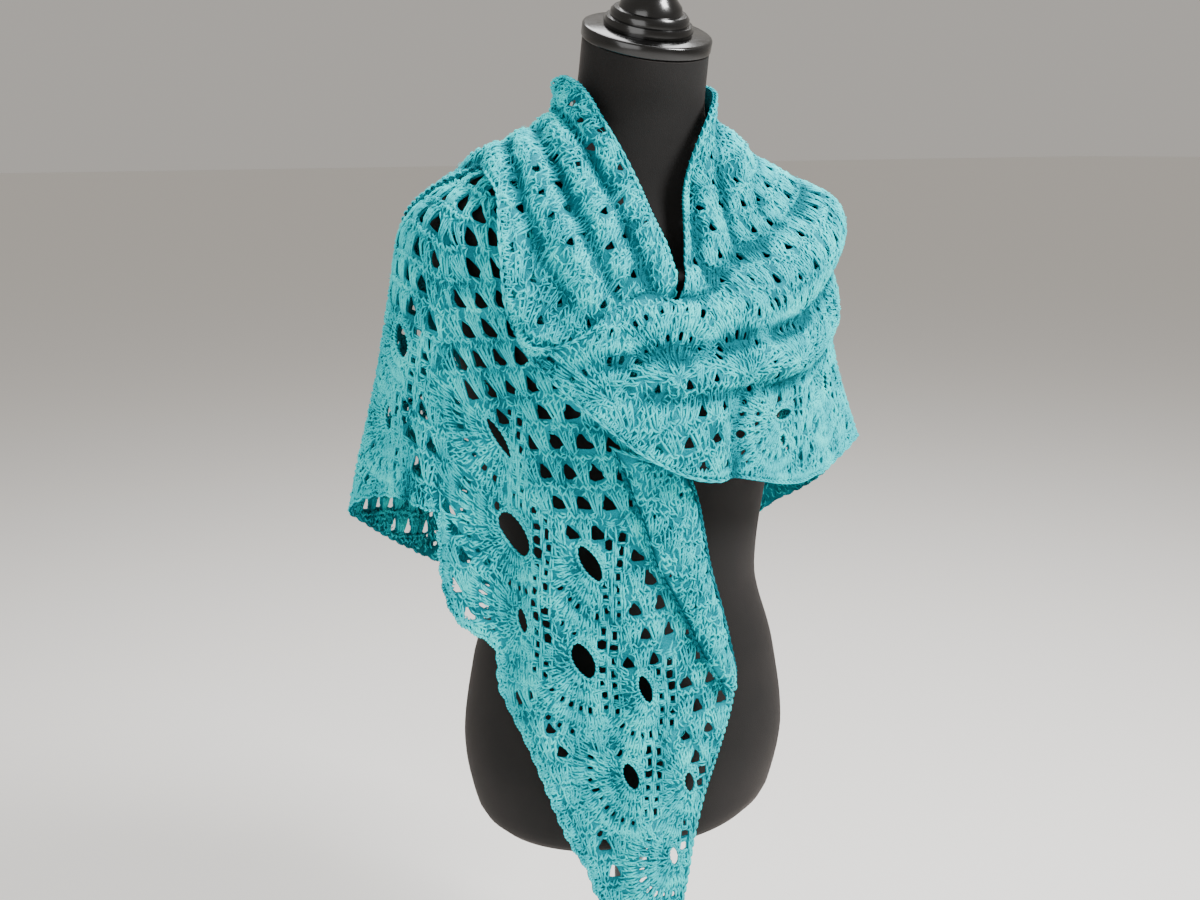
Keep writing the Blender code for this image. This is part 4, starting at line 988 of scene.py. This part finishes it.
def edgePosts(line, side):
    # the last row of posts stands square to the hem
    points = np.array(trace(line, stitches["edgePitch"]), dtype=float)
    scale, inner = edgeFrame(points)
    inner = inner * side
    start = points + inner * stitches["edgeRise"] / np.stack([scale, np.ones_like(scale)], axis=1)
    turn = np.arctan2(inner[:, 0], inner[:, 1])
    ones = np.ones(len(points))
    return np.stack([start[:, 0], start[:, 1], ones, 0.9 * ones, turn, 0 * ones], axis=1)


# Shells and strands as meshes

def fillPoints(outline, holes, spacing):
    border = flatLine(outline)
    rows = np.array(border)
    points = []
    y = rows[:, 1].min() + 0.5 * spacing
    count = 0
    while y < rows[:, 1].max():
        x = rows[:, 0].min() + (0.75 if count % 2 else 0.25) * spacing
        points += [(value, y) for value in np.arange(x, rows[:, 0].max(), spacing)]
        y += 0.866 * spacing
        count += 1
    points = np.array(points)
    keep = insidePolygon(points, border) & (distanceTo(points, border) > 0.45 * spacing)
    return points[keep & ~inHoles(points, holes, 0.3 * spacing)]


def inHoles(points, holes, margin=0.0):
    # points are flat places; true inside a hole or nearer to one than the margin
    found = np.zeros(len(points), dtype=bool)
    order = np.argsort(points[:, 1])
    sortedLengths = points[order, 1]
    for hole in holes:
        ring = np.array(hole) * flat
        low = np.searchsorted(sortedLengths, ring[:, 1].min() - margin)
        high = np.searchsorted(sortedLengths, ring[:, 1].max() + margin)
        near = order[low:high]
        x = points[near, 0]
        near = near[(x > ring[:, 0].min() - margin) & (x < ring[:, 0].max() + margin)]
        if not len(near):
            continue
        ring = [tuple(p) for p in ring]
        hit = insidePolygon(points[near], ring)
        if margin:
            hit |= distanceTo(points[near], ring) < margin
        found[near] |= hit
    return found


def shellTriangles(outline, holes, spacing):
    points = flatLine(outline)
    edges = [(k, (k + 1) % len(points)) for k in range(len(points))]
    for hole in holes:
        start = len(points)
        points += flatLine(hole)
        edges += [(start + k, start + (k + 1) % len(hole)) for k in range(len(hole))]
    points += [tuple(p) for p in fillPoints(outline, holes, spacing)]
    unit = 100.0     # the triangulation is surer in larger numbers
    found = delaunay_2d_cdt([Vector((x * unit, y * unit)) for x, y in points], edges, [], 0, 1e-5)
    places = np.array([(v.x / unit, v.y / unit) for v in found[0]])
    faces = np.array([tuple(f) for f in found[2]])
    centres = places[faces].mean(axis=1)
    keep = insidePolygon(centres, points[:len(outline)]) & ~inHoles(centres, holes)
    return places / flat, faces[keep]


def addMesh(name, points, faces, material, smooth=True):
    mesh = bpy.data.meshes.new(name)
    mesh.from_pydata(points.tolist(), [], faces)
    mesh.update()
    if smooth:
        mesh.shade_smooth()
    mesh.materials.append(material)
    piece = bpy.data.objects.new(name, mesh)
    bpy.context.scene.collection.objects.link(piece)
    return piece


def setPaintedLight(piece, values):
    piece.data.attributes.new("crown", "FLOAT", "POINT").data.foreach_set("value", values)


def buildShell(name, stretch, holes):
    places, faces = shellTriangles(stretch["outline"], holes, stretch["spacing"])
    used, faces = np.unique(faces, return_inverse=True)
    faces = faces.reshape(-1, 3)
    angle, length = places[used, 0], places[used, 1]
    offset = stretch["offset"](angle, length)
    outer = placeAt(angle, length, offset + net["wallHalf"])
    inner = placeAt(angle, length, offset - net["wallHalf"])
    corners = outer[faces]
    facing = np.cross(corners[:, 1] - corners[:, 0], corners[:, 2] - corners[:, 0])
    if (facing * normalAt(angle[faces[:, 0]], length[faces[:, 0]])).sum() < 0:
        faces = faces[:, ::-1]
    directed = {(int(f[k]), int(f[(k + 1) % 3])) for f in faces for k in range(3)}
    count = len(used)
    walls = [(b, a, a + count, b + count) for a, b in sorted(directed) if (b, a) not in directed]
    solid = faces.tolist() + (faces[:, ::-1] + count).tolist() + walls
    piece = addMesh(name, np.vstack([outer, inner]), solid, yarnWithPaintedShade)
    piece.data.set_sharp_from_angle(angle=math.radians(60))
    # painted shade in the creases of the sheet
    deep = -0.5 * paintedCreaseShade(stretch, angle, length)
    setPaintedLight(piece, np.concatenate([deep, deep]))
    return piece


def onStretch(strands, stretch, holes):
    # a strand stays when it lies on its stretch; past a seam it may run over the neighbour
    angle, length = strands[0], strands[1]
    outline = flatLine(stretch["outline"])
    last = angle.shape[1] - 1
    keep = np.ones(len(angle), dtype=bool)
    low, high = stretch["range"][0] + 0.2, stretch["range"][1] - 0.2
    middle = np.stack([angle.mean(axis=1), length.mean(axis=1)], axis=1) * flat
    keep &= insidePolygon(middle, outline) & ~inHoles(middle, holes)
    for k in (0, last):
        ends = np.stack([np.clip(angle[:, k], low, high), length[:, k]], axis=1) * flat
        keep &= insidePolygon(ends, outline) & ~inHoles(ends, holes)
    return [x[keep] for x in strands]


def paintedCreaseShade(stretch, angle, length):
    # 0 on a crest or on flat cloth, 1 down in a crease: how much painted shade the crease gets
    here = stretch["offset"](angle, length)
    reach = net["creaseShadeReach"]
    turn = reach / scaleAt(angle, length)
    low, high = stretch["range"]
    beside = 0.5 * (stretch["offset"](np.clip(angle - turn, low, high), length)
                    + stretch["offset"](np.clip(angle + turn, low, high), length))
    above = 0.5 * (stretch["offset"](angle, np.maximum(length - reach, 0.005))
                   + stretch["offset"](angle, length + reach))
    return np.clip((np.maximum(beside, above) - here) / net["creaseShadeDepth"], 0, 1)


def nearHem(strands, stretch):
    line = flatLine(lines[stretch["edges"][0][0]])
    middle = np.stack([strands[0].mean(axis=1), strands[1].mean(axis=1)], axis=1) * flat
    keep = distanceTo(middle, line, closed=False) < stretch["inside"]
    return [x[keep] for x in strands]


def buildStrands(name, stretch, parts, face=1):
    # face is -1 for stitches on the side of the cloth that lies toward the form
    angle, length, rise, wide = [np.vstack([p[k] for p in parts if p is not None]) for k in range(4)]
    level = stretch["offset"](angle, length) + face * net["wallHalf"]
    normal = normalAt(angle, length) * face
    middle = placeAt(angle, length, level + face * rise)
    heading = np.gradient(middle, axis=1)
    side = np.cross(heading, normal)
    side = side / np.maximum(np.linalg.norm(side, axis=2, keepdims=True), 1e-9) * wide[..., None]
    crown = middle + normal * (wide * 0.85)[..., None]
    sink = normal * (wide * 0.45)[..., None]
    points = np.stack([middle - side - sink, crown, middle + side - sink], axis=2)
    count, samples = angle.shape
    base = (np.arange(count) * samples * 3)[:, None, None]
    row = (np.arange(samples - 1) * 3)[None, :, None]
    column = np.arange(2)[None, None, :]
    corner = base + row + column
    faces = np.stack([corner, corner + 1, corner + 4, corner + 3], axis=-1).reshape(-1, 4)
    piece = addMesh(name, points.reshape(-1, 3), faces.tolist(), yarn)
    # painted highlight along the top of each strand, strongest mid-strand and fading where it dives into the
    # cloth
    crown = np.zeros((count, samples, 3))
    crown[:, :, 1] = 0.35 + 0.65 * np.sin(math.pi * np.linspace(0, 1, samples))
    # painted shade in creases darkens the strands there
    deep = paintedCreaseShade(stretch, angle, length)[..., None]
    crown = crown * (1 - 0.50 * deep) - 0.38 * deep
    setPaintedLight(piece, crown.ravel())
    print(name, "strands", count, "triangles", 2 * len(faces))
    return piece


def chainAlong(line, inward, pitch=6.4, width=1.15, lift=2.6):
    # a braid of two loops a stitch along an edge; inward is +1 where the cloth lies on the left
    points = np.array(trace(line, pitch * mm) + [line[-1]], dtype=float)
    scale, inner = edgeFrame(points)
    inner = inner * inward
    rows = []
    t = np.linspace(0, 1, stitches["samples"])
    for k in range(len(points) - 1):
        for a, b, rise in ((-0.2, 1.0, lift), (2.1, 0.5, lift * 0.8)):
            start = points[k] + inner[k] * a * mm / np.array([scale[k], 1])
            end = points[k + 1] + inner[k + 1] * b * mm / np.array([scale[k + 1], 1])
            over = (end - start) * (0.18 if 0 < k < len(points) - 2 else 0.0)
            place = (start - over)[None, :] * (1 - t)[:, None] + (end + over)[None, :] * t[:, None]
            arch = np.sin(math.pi * t)
            rows.append((place[:, 0], place[:, 1], -0.6 * mm + (rise + 0.6) * mm * arch ** 0.6,
                         width * mm * (0.45 + 0.55 * arch)))
    return [np.array([r[k] for r in rows]) for k in range(4)]


def smoothLine(line, times=5):
    # a round curve through the places of a free edge
    rows = np.array(line, dtype=float)
    ends = np.vstack([2 * rows[0] - rows[1], rows, 2 * rows[-1] - rows[-2]])
    points = []
    for k in range(1, len(ends) - 2):
        p0, p1, p2, p3 = ends[k - 1:k + 3]
        for t in np.arange(times) / times:
            points.append(tuple(0.5 * (2 * p1 + (p2 - p0) * t + (2 * p0 - 5 * p1 + 4 * p2 - p3) * t * t
                                       + (3 * p1 - p0 - 3 * p2 + p3) * t ** 3)))
    return points + [tuple(rows[-1])]


def scalloped(line, side, pitch=15 * mm, depth=2.4 * mm):
    points = np.array(trace(line, 3 * mm) + [line[-1]], dtype=float)
    scale, inner = edgeFrame(points)
    outward = -inner * side
    step = np.diff(points, axis=0)
    run = np.concatenate([[0], np.cumsum(np.hypot(step[:, 0] * scale[1:], step[:, 1]))])
    ends = ramp(run, 0, 12 * mm) * ramp(run[-1] - run, 0, 12 * mm)
    wave = depth * np.abs(np.sin(math.pi * run / pitch)) * ends
    moved = points + outward * wave[:, None] / np.stack([scale, np.ones_like(scale)], axis=1)
    return [tuple(p) for p in moved]


def seamShift(line, side):
    return [(a + side * 0.15 * mm / float(scaleAt(a, s)), s) for a, s in line]


def reverse(line):
    return tuple(reversed(line))


# Free edges are rounded, and the hems get the small scallops of their last row.
for edgeName in ("edgeWing", "necklineLeft", "necklineRight", "flapEdge", "hemCowl", "hemPleats",
                 "rollOuter"):
    lines[edgeName] = smoothLine(lines[edgeName])
for edgeName in ("hemWing", "hemSide", "hemBack", "hemLeft"):
    lines[edgeName] = scalloped(smoothLine(lines[edgeName]), -1)

lines["rollEdge"] = lines["rollOuter"][:-2]
lines["rollTurn"] = lines["rollInner"][1:]

fine = 0.006


def along(name):
    return trace(lines[name], fine)


def backAlong(name):
    return trace(reverse(lines[name]), fine)


def seamDown(name):
    return seamShift(along(name), 1)


def seamUp(name, turn=0):
    return seamShift([(a + turn, s) for a, s in backAlong(name) + list(lines[name][:1])], -1)


def hemPart(name):
    return seamShift(lines[name][:1], 1) + lines[name][1:-1]


# Each stretch has its outline, the angles it lies between, its ground of clusters and its flat size.
# The ground's rows are even at the angle "from"; widths, heights and holes are in millimetres.
plainGround = {"tilt": 0, "level": False, "lean": 0.0, "width": 24, "height": 24, "holeLow": 0,
               "kind": "close", "shake": 0.05, "share": 0.96}
openGround = {**plainGround, "width": 22.5, "height": 25.5, "hole": 13, "holeHeight": 16, "kind": "open"}
stretches = {
    "front_wing": {
        "outline": seamDown("wingSide") + hemPart("hemWing") + along("edgeWing") + along("wingUnderCowl"),
        "range": (-76, 60), "eyes": eyes["wing"], "offset": bodyOffset, "spacing": 0.0085, "fans": borderEyes,
        "ground": {**openGround, "from": -76, "tilt": -3, "level": True, "lean": -0.16, "hole": 15.2,
                   "holeHeight": 15.5, "holeLow": 12, "lowFrom": (0.42, 0.56), "share": 1.0},
        "edges": (("hemWing", -1), ("edgeWing", -1)), "inside": 0.16, "flat": (0.31, 0.80), "area": 0.150},
    "right_shoulder": {
        "outline": seamDown("backRight") + hemPart("hemSide") + seamUp("wingSide") + along("rightUnderTail"),
        "range": (-128, -76), "eyes": eyes["side"], "offset": bodyOffset, "spacing": 0.0085,
        "fans": borderEyes,
        "ground": {**openGround, "from": -76, "lean": -0.14},
        "edges": (("hemSide", -1),), "inside": 0.12, "flat": (0.20, 0.52), "area": 0.085},
    "back_panel": {
        "outline": seamDown("backLeft") + hemPart("hemBack") + seamUp("backRight")
        + backAlong("neckBack")[1:],
        "range": (-248, -128), "eyes": backEyes, "offset": bodyOffset, "spacing": 0.0095, "fans": borderEyes,
        "ground": {**openGround, "from": -188},
        "edges": (("hemBack", -1), ("neckBack", 1)), "inside": 0.12, "flat": (0.48, 0.60), "area": 0.230},
    "left_shoulder": {
        "outline": seamDown("cowlLeft") + hemPart("hemLeft") + seamUp("backLeft", 360)
        + backAlong("neckLeft")[1:],
        "range": (58, 112), "eyes": (), "offset": cowlOffset, "spacing": 0.0075, "fans": borderEyes,
        "ground": {**plainGround, "from": 58, "width": 24.3, "height": 25, "hole": 6.5, "holeHeight": 9,
                   "shake": 0.10},
        "edges": (("hemLeft", -1), ("neckLeft", 1)), "inside": 0.12, "flat": (0.22, 0.50), "area": 0.090},
    "chest_cowl": {
        "outline": seamUp("cowlLeft") + along("necklineLeft")[1:] + along("flapEdge") + along("hemCowl"),
        "range": (-70, 58), "eyes": eyes["cowl"], "offset": cowlOffset, "spacing": 0.0060, "fans": cowlFans,
        "fill": 0.86,
        "ground": {**plainGround, "from": 58, "width": 24.3, "height": 25, "hole": 7.0, "holeHeight": 8.6,
                   "holeLow": 9.5, "lowFrom": (0.30, 0.33), "shake": 0.34, "share": 0.85},
        "edges": (("necklineLeft", -1), ("flapEdge", -1), ("hemCowl", -1)), "flat": (0.36, 0.34),
        "area": 0.090},
    "shoulder_pleats": {
        "outline": seamDown("tailSeam") + seamShift(lines["tailSeam"][1:], 1) + along("hemPleats")[1:]
        + along("pleatsUnderRoll") + along("necklineRight"),
        "range": (-88, 10), "eyes": (), "offset": pleatsOffset, "spacing": 0.0055, "fans": (), "fill": 0.82,
        "ground": {**plainGround, "from": -40, "tilt": 35, "hole": 6.6, "holeHeight": 8.4, "shake": 0.34,
                   "share": 0.8},
        "edges": (("hemPleats", -1), ("necklineRight", -1)), "flat": (0.26, 0.20), "area": 0.034},
    "shoulder_tail": {
        "outline": seamUp("tailSeam") + trace(reverse(lines["tailEdge"])[1:], fine),
        "range": (-170, -88), "eyes": (), "offset": tailOffset, "spacing": 0.0075, "fans": (),
        "ground": {**plainGround, "from": -120, "hole": 6, "holeHeight": 9, "shake": 0.10},
        "edges": (("tailEdge", 1),), "flat": (0.18, 0.32), "area": 0.034},
    "front_edge_roll": {
        "outline": along("rollOuter") + along("rollInner"),
        "range": (-60, 60), "eyes": (), "offset": edgeRollOffset, "spacing": 0.0060, "fans": (), "fill": 0.86,
        "ground": {**plainGround, "from": 0, "tilt": -30, "width": 22, "height": 22, "hole": 4,
                   "holeHeight": 5, "shake": 0.14, "share": 0.5},
        "edges": (("rollEdge", -1), ("rollTurn", -1)), "flat": (0.08, 0.27), "area": 0.014},
}


def withinSeams(hole, stretch):
    # a gap that meets a seam stops short of it, and goes on in the next stretch
    rows = np.array(hole, dtype=float)
    room = net["seamRoom"] / scaleAt(rows[:, 0], rows[:, 1])
    rows[:, 0] = np.clip(rows[:, 0], stretch["range"][0] + room, stretch["range"][1] - room)
    return rows


def chooseHoles(stretch, ground, fanGaps):
    # the eyes come first, then what fits clear of them, of each other and of the border
    shift = turnOf(stretch)
    outline = flatLine(stretch["outline"])
    chosen = [lensHole(*eye) for eye in stretch["eyes"]]
    if shift:
        chosen += [lensHole(a + shift, *rest) for a, *rest in leftEyes]
    owned = [(withinSeams(h, stretch), k) for h, k in
             [(h, gaps["ground"]) for h in ground] + fanGaps]
    middles = np.array([h.mean(axis=0) for h, _ in owned])
    owner = np.array([k for _, k in owned])
    keep = np.ones(len(owned), dtype=bool)
    group = stretch["fans"]
    if group:
        angle, length = middles[:, 0] - shift, middles[:, 1]
        fan = inFan(angle, length, group)
        ladder = inLadder(angle, length, group, 1.5 * mm)
        nearest, _, _ = nearestEye(angle, length, group)
        room = distanceTo(np.stack([angle, length], axis=1) * flat, hemFlat, closed=False) > net["hemRoom"]
        keep &= np.where(owner == gaps["ground"], ~inFan(angle, length, group, 4 * mm) & ~ladder, room)
        keep &= (owner < 0) | ((nearest == owner) & fan & ~ladder)
    corners = np.concatenate([h for h, _ in owned]) * flat
    first = np.cumsum([0] + [len(h) for h, _ in owned])[:-1]
    clear = insidePolygon(corners, outline) & (distanceTo(corners, outline) > net["borderRoom"])
    for line, _ in stretch["edges"]:
        clear &= distanceTo(corners, flatLine(lines[line]), closed=False) > net["edgeRoom"]
    keep &= np.minimum.reduceat(clear.astype(int), first) > 0
    keep &= np.array([np.ptp(h[:, 0]) * net["flatScale"] > net["smallestGap"] for h, _ in owned])
    centres = [np.array(h).mean(axis=0) * flat for h in chosen]
    sizes = [np.ptp(np.array(h) * flat, axis=0).max() * 0.5 for h in chosen]
    for i in np.nonzero(keep)[0]:
        points = owned[i][0] * flat
        centre, size = points.mean(axis=0), np.ptp(points, axis=0).max() * 0.5
        if centres:
            away = np.array(centres) - centre
            room = gaps["apart"] * (np.array(sizes) + size) + gaps["thread"]
            if (np.hypot(away[:, 0], away[:, 1]) < room).any():
                continue
        chosen.append([tuple(p) for p in owned[i][0]])
        centres.append(centre)
        sizes.append(size)
    return chosen


def fillCells(stretch):
    # low loose loops between the stitches, turned along the nearest fan or roughly upright
    angles = [p[0] for p in stretch["outline"]]
    lengths = [p[1] for p in stretch["outline"]]
    stepX, stepY = [stretch.get("fill", 1.0) * step for step in stitches["fillStep"]]
    steps = np.arange(-200, 201) * stepX
    angle, length = [], []
    for row, y in enumerate(np.arange(min(lengths) - 0.01, max(lengths) + 0.02, stepY)):
        places = rowPlaces(stretch["ground"]["from"], min(angles) - 3, max(angles) + 3, max(y, 0.002),
                           steps + 0.5 * stepX * (row % 2))
        angle.append(places)
        length.append(np.full(len(places), y))
    angle, length = np.concatenate(angle), np.concatenate(length)
    angle = angle + rng.uniform(-1.2, 1.2, len(angle)) * mm / scaleAt(angle, length)
    length = length + rng.uniform(-1.6, 1.6, len(length)) * mm
    keep = insidePolygon(np.stack([angle, length], axis=1) * flat, flatLine(stretch["outline"]))
    angle, length = angle[keep], length[keep]
    turn = rng.normal(0, 0.45, len(angle))
    if stretch["fans"]:
        shift = turnOf(stretch)
        which, _, _ = nearestEye(angle - shift, length, stretch["fans"])
        eyePlaces = np.array([eye[:2] for eye in stretch["fans"]])[which]
        across = (angle - shift - eyePlaces[:, 0]) * scaleAt(angle, length)
        toward = rng.normal(0, 0.3, len(angle)) - np.arctan2(across, eyePlaces[:, 1] - length)
        turn = np.where(inFan(angle - shift, length, stretch["fans"]), toward, turn)
    ones = np.ones(len(angle))
    start = length + 4 * mm * np.cos(turn)     # a loop is about 8 mm long
    return np.stack([angle, start, ones, ones, turn, 0 * ones], axis=1)


def dressStretch(name):
    stretch = stretches[name]
    shift = turnOf(stretch)
    ground, groundHoles = groundCells(stretch)
    fanHoles, parts = [], []
    group = stretch["fans"]
    if group:
        posts, fanHoles = fanCells(stretch)
        rungs, legs, ladderHoles = ladderCells(stretch)
        fanHoles = [([(a + shift, s) for a, s in hole], k) for hole, k in ladderHoles + fanHoles]
        which, away, _ = nearestEye(posts[:, 0], posts[:, 1], group)
        room = distanceTo(posts[:, :2] * flat, hemFlat, closed=False)
        posts = posts[(which == posts[:, 6]) & (away < fans["reach"]) & (room > net["hemRoom"])
                      & ~inLadder(posts[:, 0], posts[:, 1], group)]
        for cells, kind in ((posts[:, :6], "post"), (rungs, "rung"), (legs, "leg")):
            if len(cells):
                cells[:, 0] += shift
                parts.append(strandsAt(cells, stitches[kind]))
        middle = ground[:, 1] - 12 * mm     # a cluster counts from its middle
        ground = ground[~inFan(ground[:, 0] - shift, middle, group, -4 * mm)
                        & ~inLadder(ground[:, 0] - shift, middle, group)]
    holes = chooseHoles(stretch, groundHoles, fanHoles)
    shell = buildShell(name + "_cloth", stretch, holes)
    pieces = [shell]
    parts.append(strandsAt(ground, stitches[stretch["ground"]["kind"]]))
    fill = fillCells(stretch)
    parts.append(strandsAt(fill, stitches["fill"]))
    loose = fill[rng.random(len(fill)) < stitches["hairShare"]]
    loose[:, 4] = rng.uniform(-math.pi, math.pi, len(loose))
    parts.append(strandsAt(loose, stitches["hair"]))
    parts = [onStretch(part, stretch, holes) for part in parts if part is not None]
    for line, side in stretch["edges"]:
        if line.startswith("hem"):
            parts.append(strandsAt(edgePosts(lines[line], side), stitches["edge"]))
        parts.append(chainAlong(lines[line], side))
    eyeCount = len(stretch["eyes"]) + (len(leftEyes) if shift else 0)
    for hole in holes[:eyeCount]:
        parts.append(chainAlong([*hole, hole[0], hole[1]], -1, pitch=4.0, lift=1.6))
    pieces.append(buildStrands(name + "_stitches", stretch, parts))
    if "inside" in stretch:
        inner = [strandsAt(ground, stitches[stretch["ground"]["kind"]]),
                 strandsAt(fillCells(stretch), stitches["fill"])]
        pieces.append(buildStrands(name + "_inner_stitches", stretch,
                                   [nearHem(onStretch(part, stretch, holes), stretch) for part in inner], -1))
    for piece in pieces:
        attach(piece, "root")
    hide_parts(name)
    print(name, "holes", len(holes))


for name in stretches:
    dressStretch(name)
print("shawl made")


# The form, its finial and the stand

def loft(name, ringPoints, material):
    size = ringPoints.shape[1]
    rows = len(ringPoints)
    i = np.arange(size)
    j = (i + 1) % size
    faces = []
    for k in range(rows - 1):
        below, above = k * size, (k + 1) * size
        faces += np.stack([below + i, below + j, above + j, above + i], axis=1).tolist()
    faces.append(list(reversed(range(size))))
    faces.append(list(range((rows - 1) * size, rows * size)))
    piece = addMesh(name, ringPoints.reshape(-1, 3), faces, material)
    piece.data.set_sharp_from_angle(angle=math.radians(40))
    return piece


def dressFormSkin():
    heights = np.arange(panHeight, neckTop, formShape["ringSpacing"])
    heights = np.concatenate([heights[:1], [panHeight + 0.003, panHeight + 0.006], heights[1:], [neckTop]])
    azimuths = 2 * math.pi * np.arange(formShape["sides"]) / formShape["sides"]
    ringPoints = []
    for height in heights:
        radius = formRadius(azimuths, np.full_like(azimuths, height))
        forward = -radius * np.cos(azimuths)
        lean = float(ramp(height, formShape["neckLeanStart"], neckTop))
        ringPoints.append(np.stack([radius * np.sin(azimuths), smoothTable(5, height) + forward,
                                    height + lean * forward * math.tan(formShape["neckTilt"])], axis=-1))
    return loft("dress_form_skin", np.array(ringPoints), velvet)


pins = {"angles": (-17, 17), "height": 1.066, "radius": 1.3 * mm}


def neckPins():
    for number, degrees in enumerate(pins["angles"]):
        turn = math.radians(degrees)
        reach = float(formRadius(turn, pins["height"]))
        centre = float(smoothTable(5, pins["height"]))
        bpy.ops.mesh.primitive_uv_sphere_add(segments=12, ring_count=8, radius=pins["radius"])
        piece = bpy.context.object
        piece.name = f"neck_pin_{number}"
        piece.location = (reach * math.sin(turn), centre - reach * math.cos(turn), pins["height"])
        piece.data.materials.append(lacquer)
        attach(piece, "root")


turned = {
    "sides": 96,
    "capRadius": 0.0580, "capThickness": 0.012, "gap": 0.0003,
    "finial": ((0.000, 0.0395), (0.004, 0.0400), (0.008, 0.0385), (0.0085, 0.0350), (0.013, 0.0350),
               (0.016, 0.0325), (0.0165, 0.0285), (0.022, 0.0270), (0.028, 0.0215), (0.034, 0.0170),
               (0.039, 0.0160), (0.043, 0.0185), (0.046, 0.0215), (0.050, 0.0190), (0.053, 0.0150)),
    "knobRadius": 0.024, "knobCentre": 0.0695,
    "baseRadius": 0.150, "baseThickness": 0.018, "poleRadius": 0.0125, "socketRadius": 0.024,
    "socketHeight": 0.060,
}


def turnedPiece(name, profile, material, origin=(0, 0, 0), tilt=0.0):
    t = 2 * math.pi * np.arange(turned["sides"]) / turned["sides"]
    ringPoints = []
    for height, radius in profile:
        x, y = radius * np.cos(t), radius * np.sin(t)
        ringPoints.append(np.stack([origin[0] + x, origin[1] + y * math.cos(tilt) - height * math.sin(tilt),
                                    origin[2] + y * math.sin(tilt) + height * math.cos(tilt)], axis=-1))
    return loft(name, np.array(ringPoints), material)


def buildForm():
    neckPlace = (0.0, formRows[-1, 5], neckTop)
    tilt = formShape["neckTilt"]
    gap, radius, thick = turned["gap"], turned["capRadius"], turned["capThickness"]
    cap = turnedPiece("neck_cap_lacquered", (
        (gap, radius - 0.0015), (gap + 0.0005, radius - 0.0005), (gap + 0.0015, radius),
        (gap + thick - 0.0020, radius), (gap + thick - 0.0008, radius - 0.0007),
        (gap + thick, radius - 0.0025)), lacquer, neckPlace, tilt)
    floor = 2 * gap + thick
    knob = []     # the ball, from its foot round to its top
    for k in range(17):
        t = math.radians(-48 + k * 134 / 16)
        knob.append((turned["knobCentre"] + turned["knobRadius"] * math.sin(t),
                     turned["knobRadius"] * math.cos(t)))
    profile = [(floor + height, r) for height, r in (*turned["finial"], *knob)]
    finial = turnedPiece("neck_finial_lacquered", profile, lacquer, neckPlace, tilt)
    wide, thick = turned["baseRadius"], turned["baseThickness"]
    base = turnedPiece("stand_base_coated", (
        (0.000, wide - 0.002), (0.0006, wide - 0.0006), (0.002, wide), (0.006, wide),
        (0.0085, wide - 0.0025), (0.010, wide - 0.006), (0.014, wide * 0.55),
        (thick, turned["poleRadius"] * 1.8)), powderCoat)
    bottom = panHeight - gap - turned["socketHeight"]
    pole = turnedPiece("stand_pole_coated", ((thick + gap, turned["poleRadius"]),
                                             (bottom - gap, turned["poleRadius"])), powderCoat)
    outer = turned["socketRadius"]
    socket = turnedPiece("stand_socket_lacquered", (
        (bottom, 0.017), (bottom + 0.004, outer - 0.004), (bottom + 0.030, outer - 0.004),
        (bottom + 0.038, outer), (bottom + 0.046, 0.040), (panHeight - gap, 0.044)), lacquer)
    for piece, node, slotName in (
            (dressFormSkin(), "dress_form_body", "black_velvet"),
            (cap, "neck_cap", "black_gloss_plastic"), (finial, "neck_finial", "black_gloss_plastic"),
            (base, "stand_base", "black_painted_steel"), (pole, "stand_pole", "black_painted_steel"),
            (socket, "stand_socket", "black_gloss_plastic")):
        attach(piece, "root")
        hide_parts(node)


buildForm()
neckPins()
print("form made")


# Floor, light and camera

studio = {
    "floor": "f5f3f0", "floorSide": 60.0, "room": "cfcac3", "roomStrength": 0.74, "aim": (0, 0, 0.75),
    # name, watts, place, size
    "lamps": (("keyLight", 112, (1.1, -1.5, 2.5), 0.7), ("fillLight", 27, (-1.9, -1.4, 1.2), 1.6),
              ("topLight", 62, (0.2, 0.6, 2.6), 1.4)),
}


def buildStudio():
    floorMaterial, shader = newMaterial("paleFloor")
    shader.inputs["Base Color"].default_value = linear(studio["floor"])
    shader.inputs["Roughness"].default_value = 0.9
    side = studio["floorSide"]
    floorPoints = side * np.array([(-1.0, -1.0, 0.0), (1.0, -1.0, 0.0), (1.0, 1.0, 0.0), (-1.0, 1.0, 0.0)])
    floor = addMesh("floor", floorPoints, [(0, 1, 2, 3)], floorMaterial, smooth=False)
    world = bpy.data.worlds.new("softRoom")
    world.use_nodes = True
    background = world.node_tree.nodes["Background"]
    background.inputs["Color"].default_value = linear(studio["room"])
    background.inputs["Strength"].default_value = studio["roomStrength"]
    bpy.context.scene.world = world
    target = Vector(studio["aim"])
    for name, energy, place, size in studio["lamps"]:
        light = bpy.data.lights.new(name, "AREA")
        light.energy = energy
        light.size = size
        lamp = bpy.data.objects.new(name, light)
        bpy.context.scene.collection.objects.link(lamp)
        lamp.location = place
        lamp.rotation_euler = (target - Vector(place)).to_track_quat("-Z", "Y").to_euler()


view = {"azimuth": -25.0, "elevation": 13.0, "roll": -0.5, "distance": 1.30, "aside": -0.024, "aim": 0.715,
        "focalPixels": 1330.0, "imageWidth": 1200, "sensor": 36.0}


def buildCamera():
    a, e, r = [math.radians(view[k]) for k in ("azimuth", "elevation", "roll")]
    back = Vector((math.sin(a) * math.cos(e), -math.cos(a) * math.cos(e), math.sin(e)))
    right = Vector((math.cos(a), math.sin(a), 0))
    up = back.cross(right)
    place = right * view["aside"] + Vector((0, 0, view["aim"])) + back * view["distance"]
    matrix = Matrix((right * math.cos(r) + up * math.sin(r), up * math.cos(r) - right * math.sin(r),
                     back)).transposed().to_4x4()
    matrix.translation = place
    camera = bpy.data.cameras.new("photoCamera")
    camera.sensor_width = view["sensor"]
    camera.lens = view["focalPixels"] / view["imageWidth"] * view["sensor"]
    holder = bpy.data.objects.new("photoCamera", camera)
    bpy.context.scene.collection.objects.link(holder)
    holder.matrix_world = matrix
    bpy.context.scene.camera = holder


buildStudio()
buildCamera()
print("studio and camera made")
